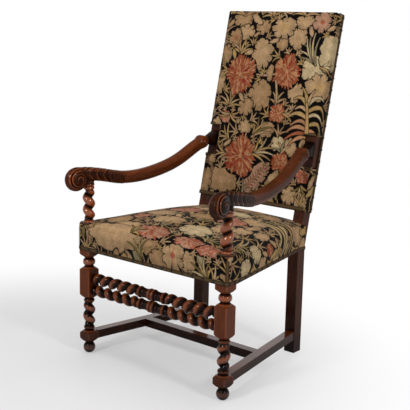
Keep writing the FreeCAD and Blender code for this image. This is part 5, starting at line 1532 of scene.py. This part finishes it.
def add_camera():
    forward = Vector((-math.sin(YAW) * math.cos(PITCH), math.cos(YAW) * math.cos(PITCH), -math.sin(PITCH)))
    level = forward.cross(Vector((0, 0, 1))).normalized()
    rise = level.cross(forward)
    right = math.cos(ROLL) * level + math.sin(ROLL) * rise
    up = math.cos(ROLL) * rise - math.sin(ROLL) * level
    camera = bpy.data.objects.new("camera", bpy.data.cameras.new("camera"))
    scene.collection.objects.link(camera)
    stand = Matrix((right, up, -forward)).transposed().to_4x4()
    stand.translation = CAMERA_PLACE
    camera.matrix_world = stand
    camera.data.sensor_width = SENSOR
    camera.data.lens = SENSOR * FOCAL_PIXELS / PHOTO_WIDTH
    scene.camera = camera


def pale_floor():
    """A pale floor that keeps the shadow and turns to plain white further out, for what is seen of it."""
    shader = Shader("pale_floor", roughness=0.55, base_color=(0.57, 0.56, 0.57, 1))
    x, y, _ = shader.place().parts()
    far = distance(x + 0.3, y + 0.5).between(0.45, 1.35) * 0.66 + 0.34
    seen = shader.node("LightPath", output="Is Camera Ray")
    for output in ("Is Glossy Ray", "Is Transmission Ray"):
        seen = seen.math("MAXIMUM", shader.node("LightPath", output=output))
    white = shader.node("Emission", {"Color": (1, 1, 1, 1), "Strength": 1.0}, "Emission")
    both = shader.node("MixShader", {0: far * seen, 1: Value(shader, shader.surface.outputs[0]), 2: white})
    shader.feed(shader.tree.nodes["Material Output"].inputs["Surface"], both)
    return shader.material


def add_floor():
    """A round floor with a wall far round it."""
    numbers = range(WALL_SIDES)
    turns = [2 * math.pi * number / WALL_SIDES for number in numbers]
    ring = [(FLOOR_RADIUS * math.cos(turn), FLOOR_RADIUS * math.sin(turn)) for turn in turns]
    following = [(number + 1) % WALL_SIDES for number in numbers]
    walls = [(a, b, b + WALL_SIDES, a + WALL_SIDES) for a, b in zip(numbers, following)]
    mesh = bpy.data.meshes.new("floor")
    mesh.from_pydata([(x, y, z) for z in (0, WALL_HIGH) for x, y in ring], [], [tuple(numbers)] + walls)
    mesh.materials.append(pale_floor())
    floor = bpy.data.objects.new("floor", mesh)
    scene.collection.objects.link(floor)


def add_light():
    scene.world = bpy.data.worlds.new("studio")
    scene.world.use_nodes = True
    glow = scene.world.node_tree.nodes["Background"]
    glow.inputs["Color"].default_value = (1, 1, 1, 1)
    glow.inputs["Strength"].default_value = WORLD_STRENGTH
    for name, place, size, power, in_polish in LAMPS:
        lamp = bpy.data.lights.new(name, "AREA")
        lamp.size = size
        lamp.energy = power
        holder = bpy.data.objects.new(name, lamp)
        scene.collection.objects.link(holder)
        holder.location = place
        holder.rotation_mode = "QUATERNION"
        holder.rotation_quaternion = (LIT_PLACE - Vector(place)).to_track_quat("-Z", "Y")
        holder.visible_glossy = in_polish


add_camera()
add_floor()
add_light()
scene.view_settings.view_transform = "Standard"
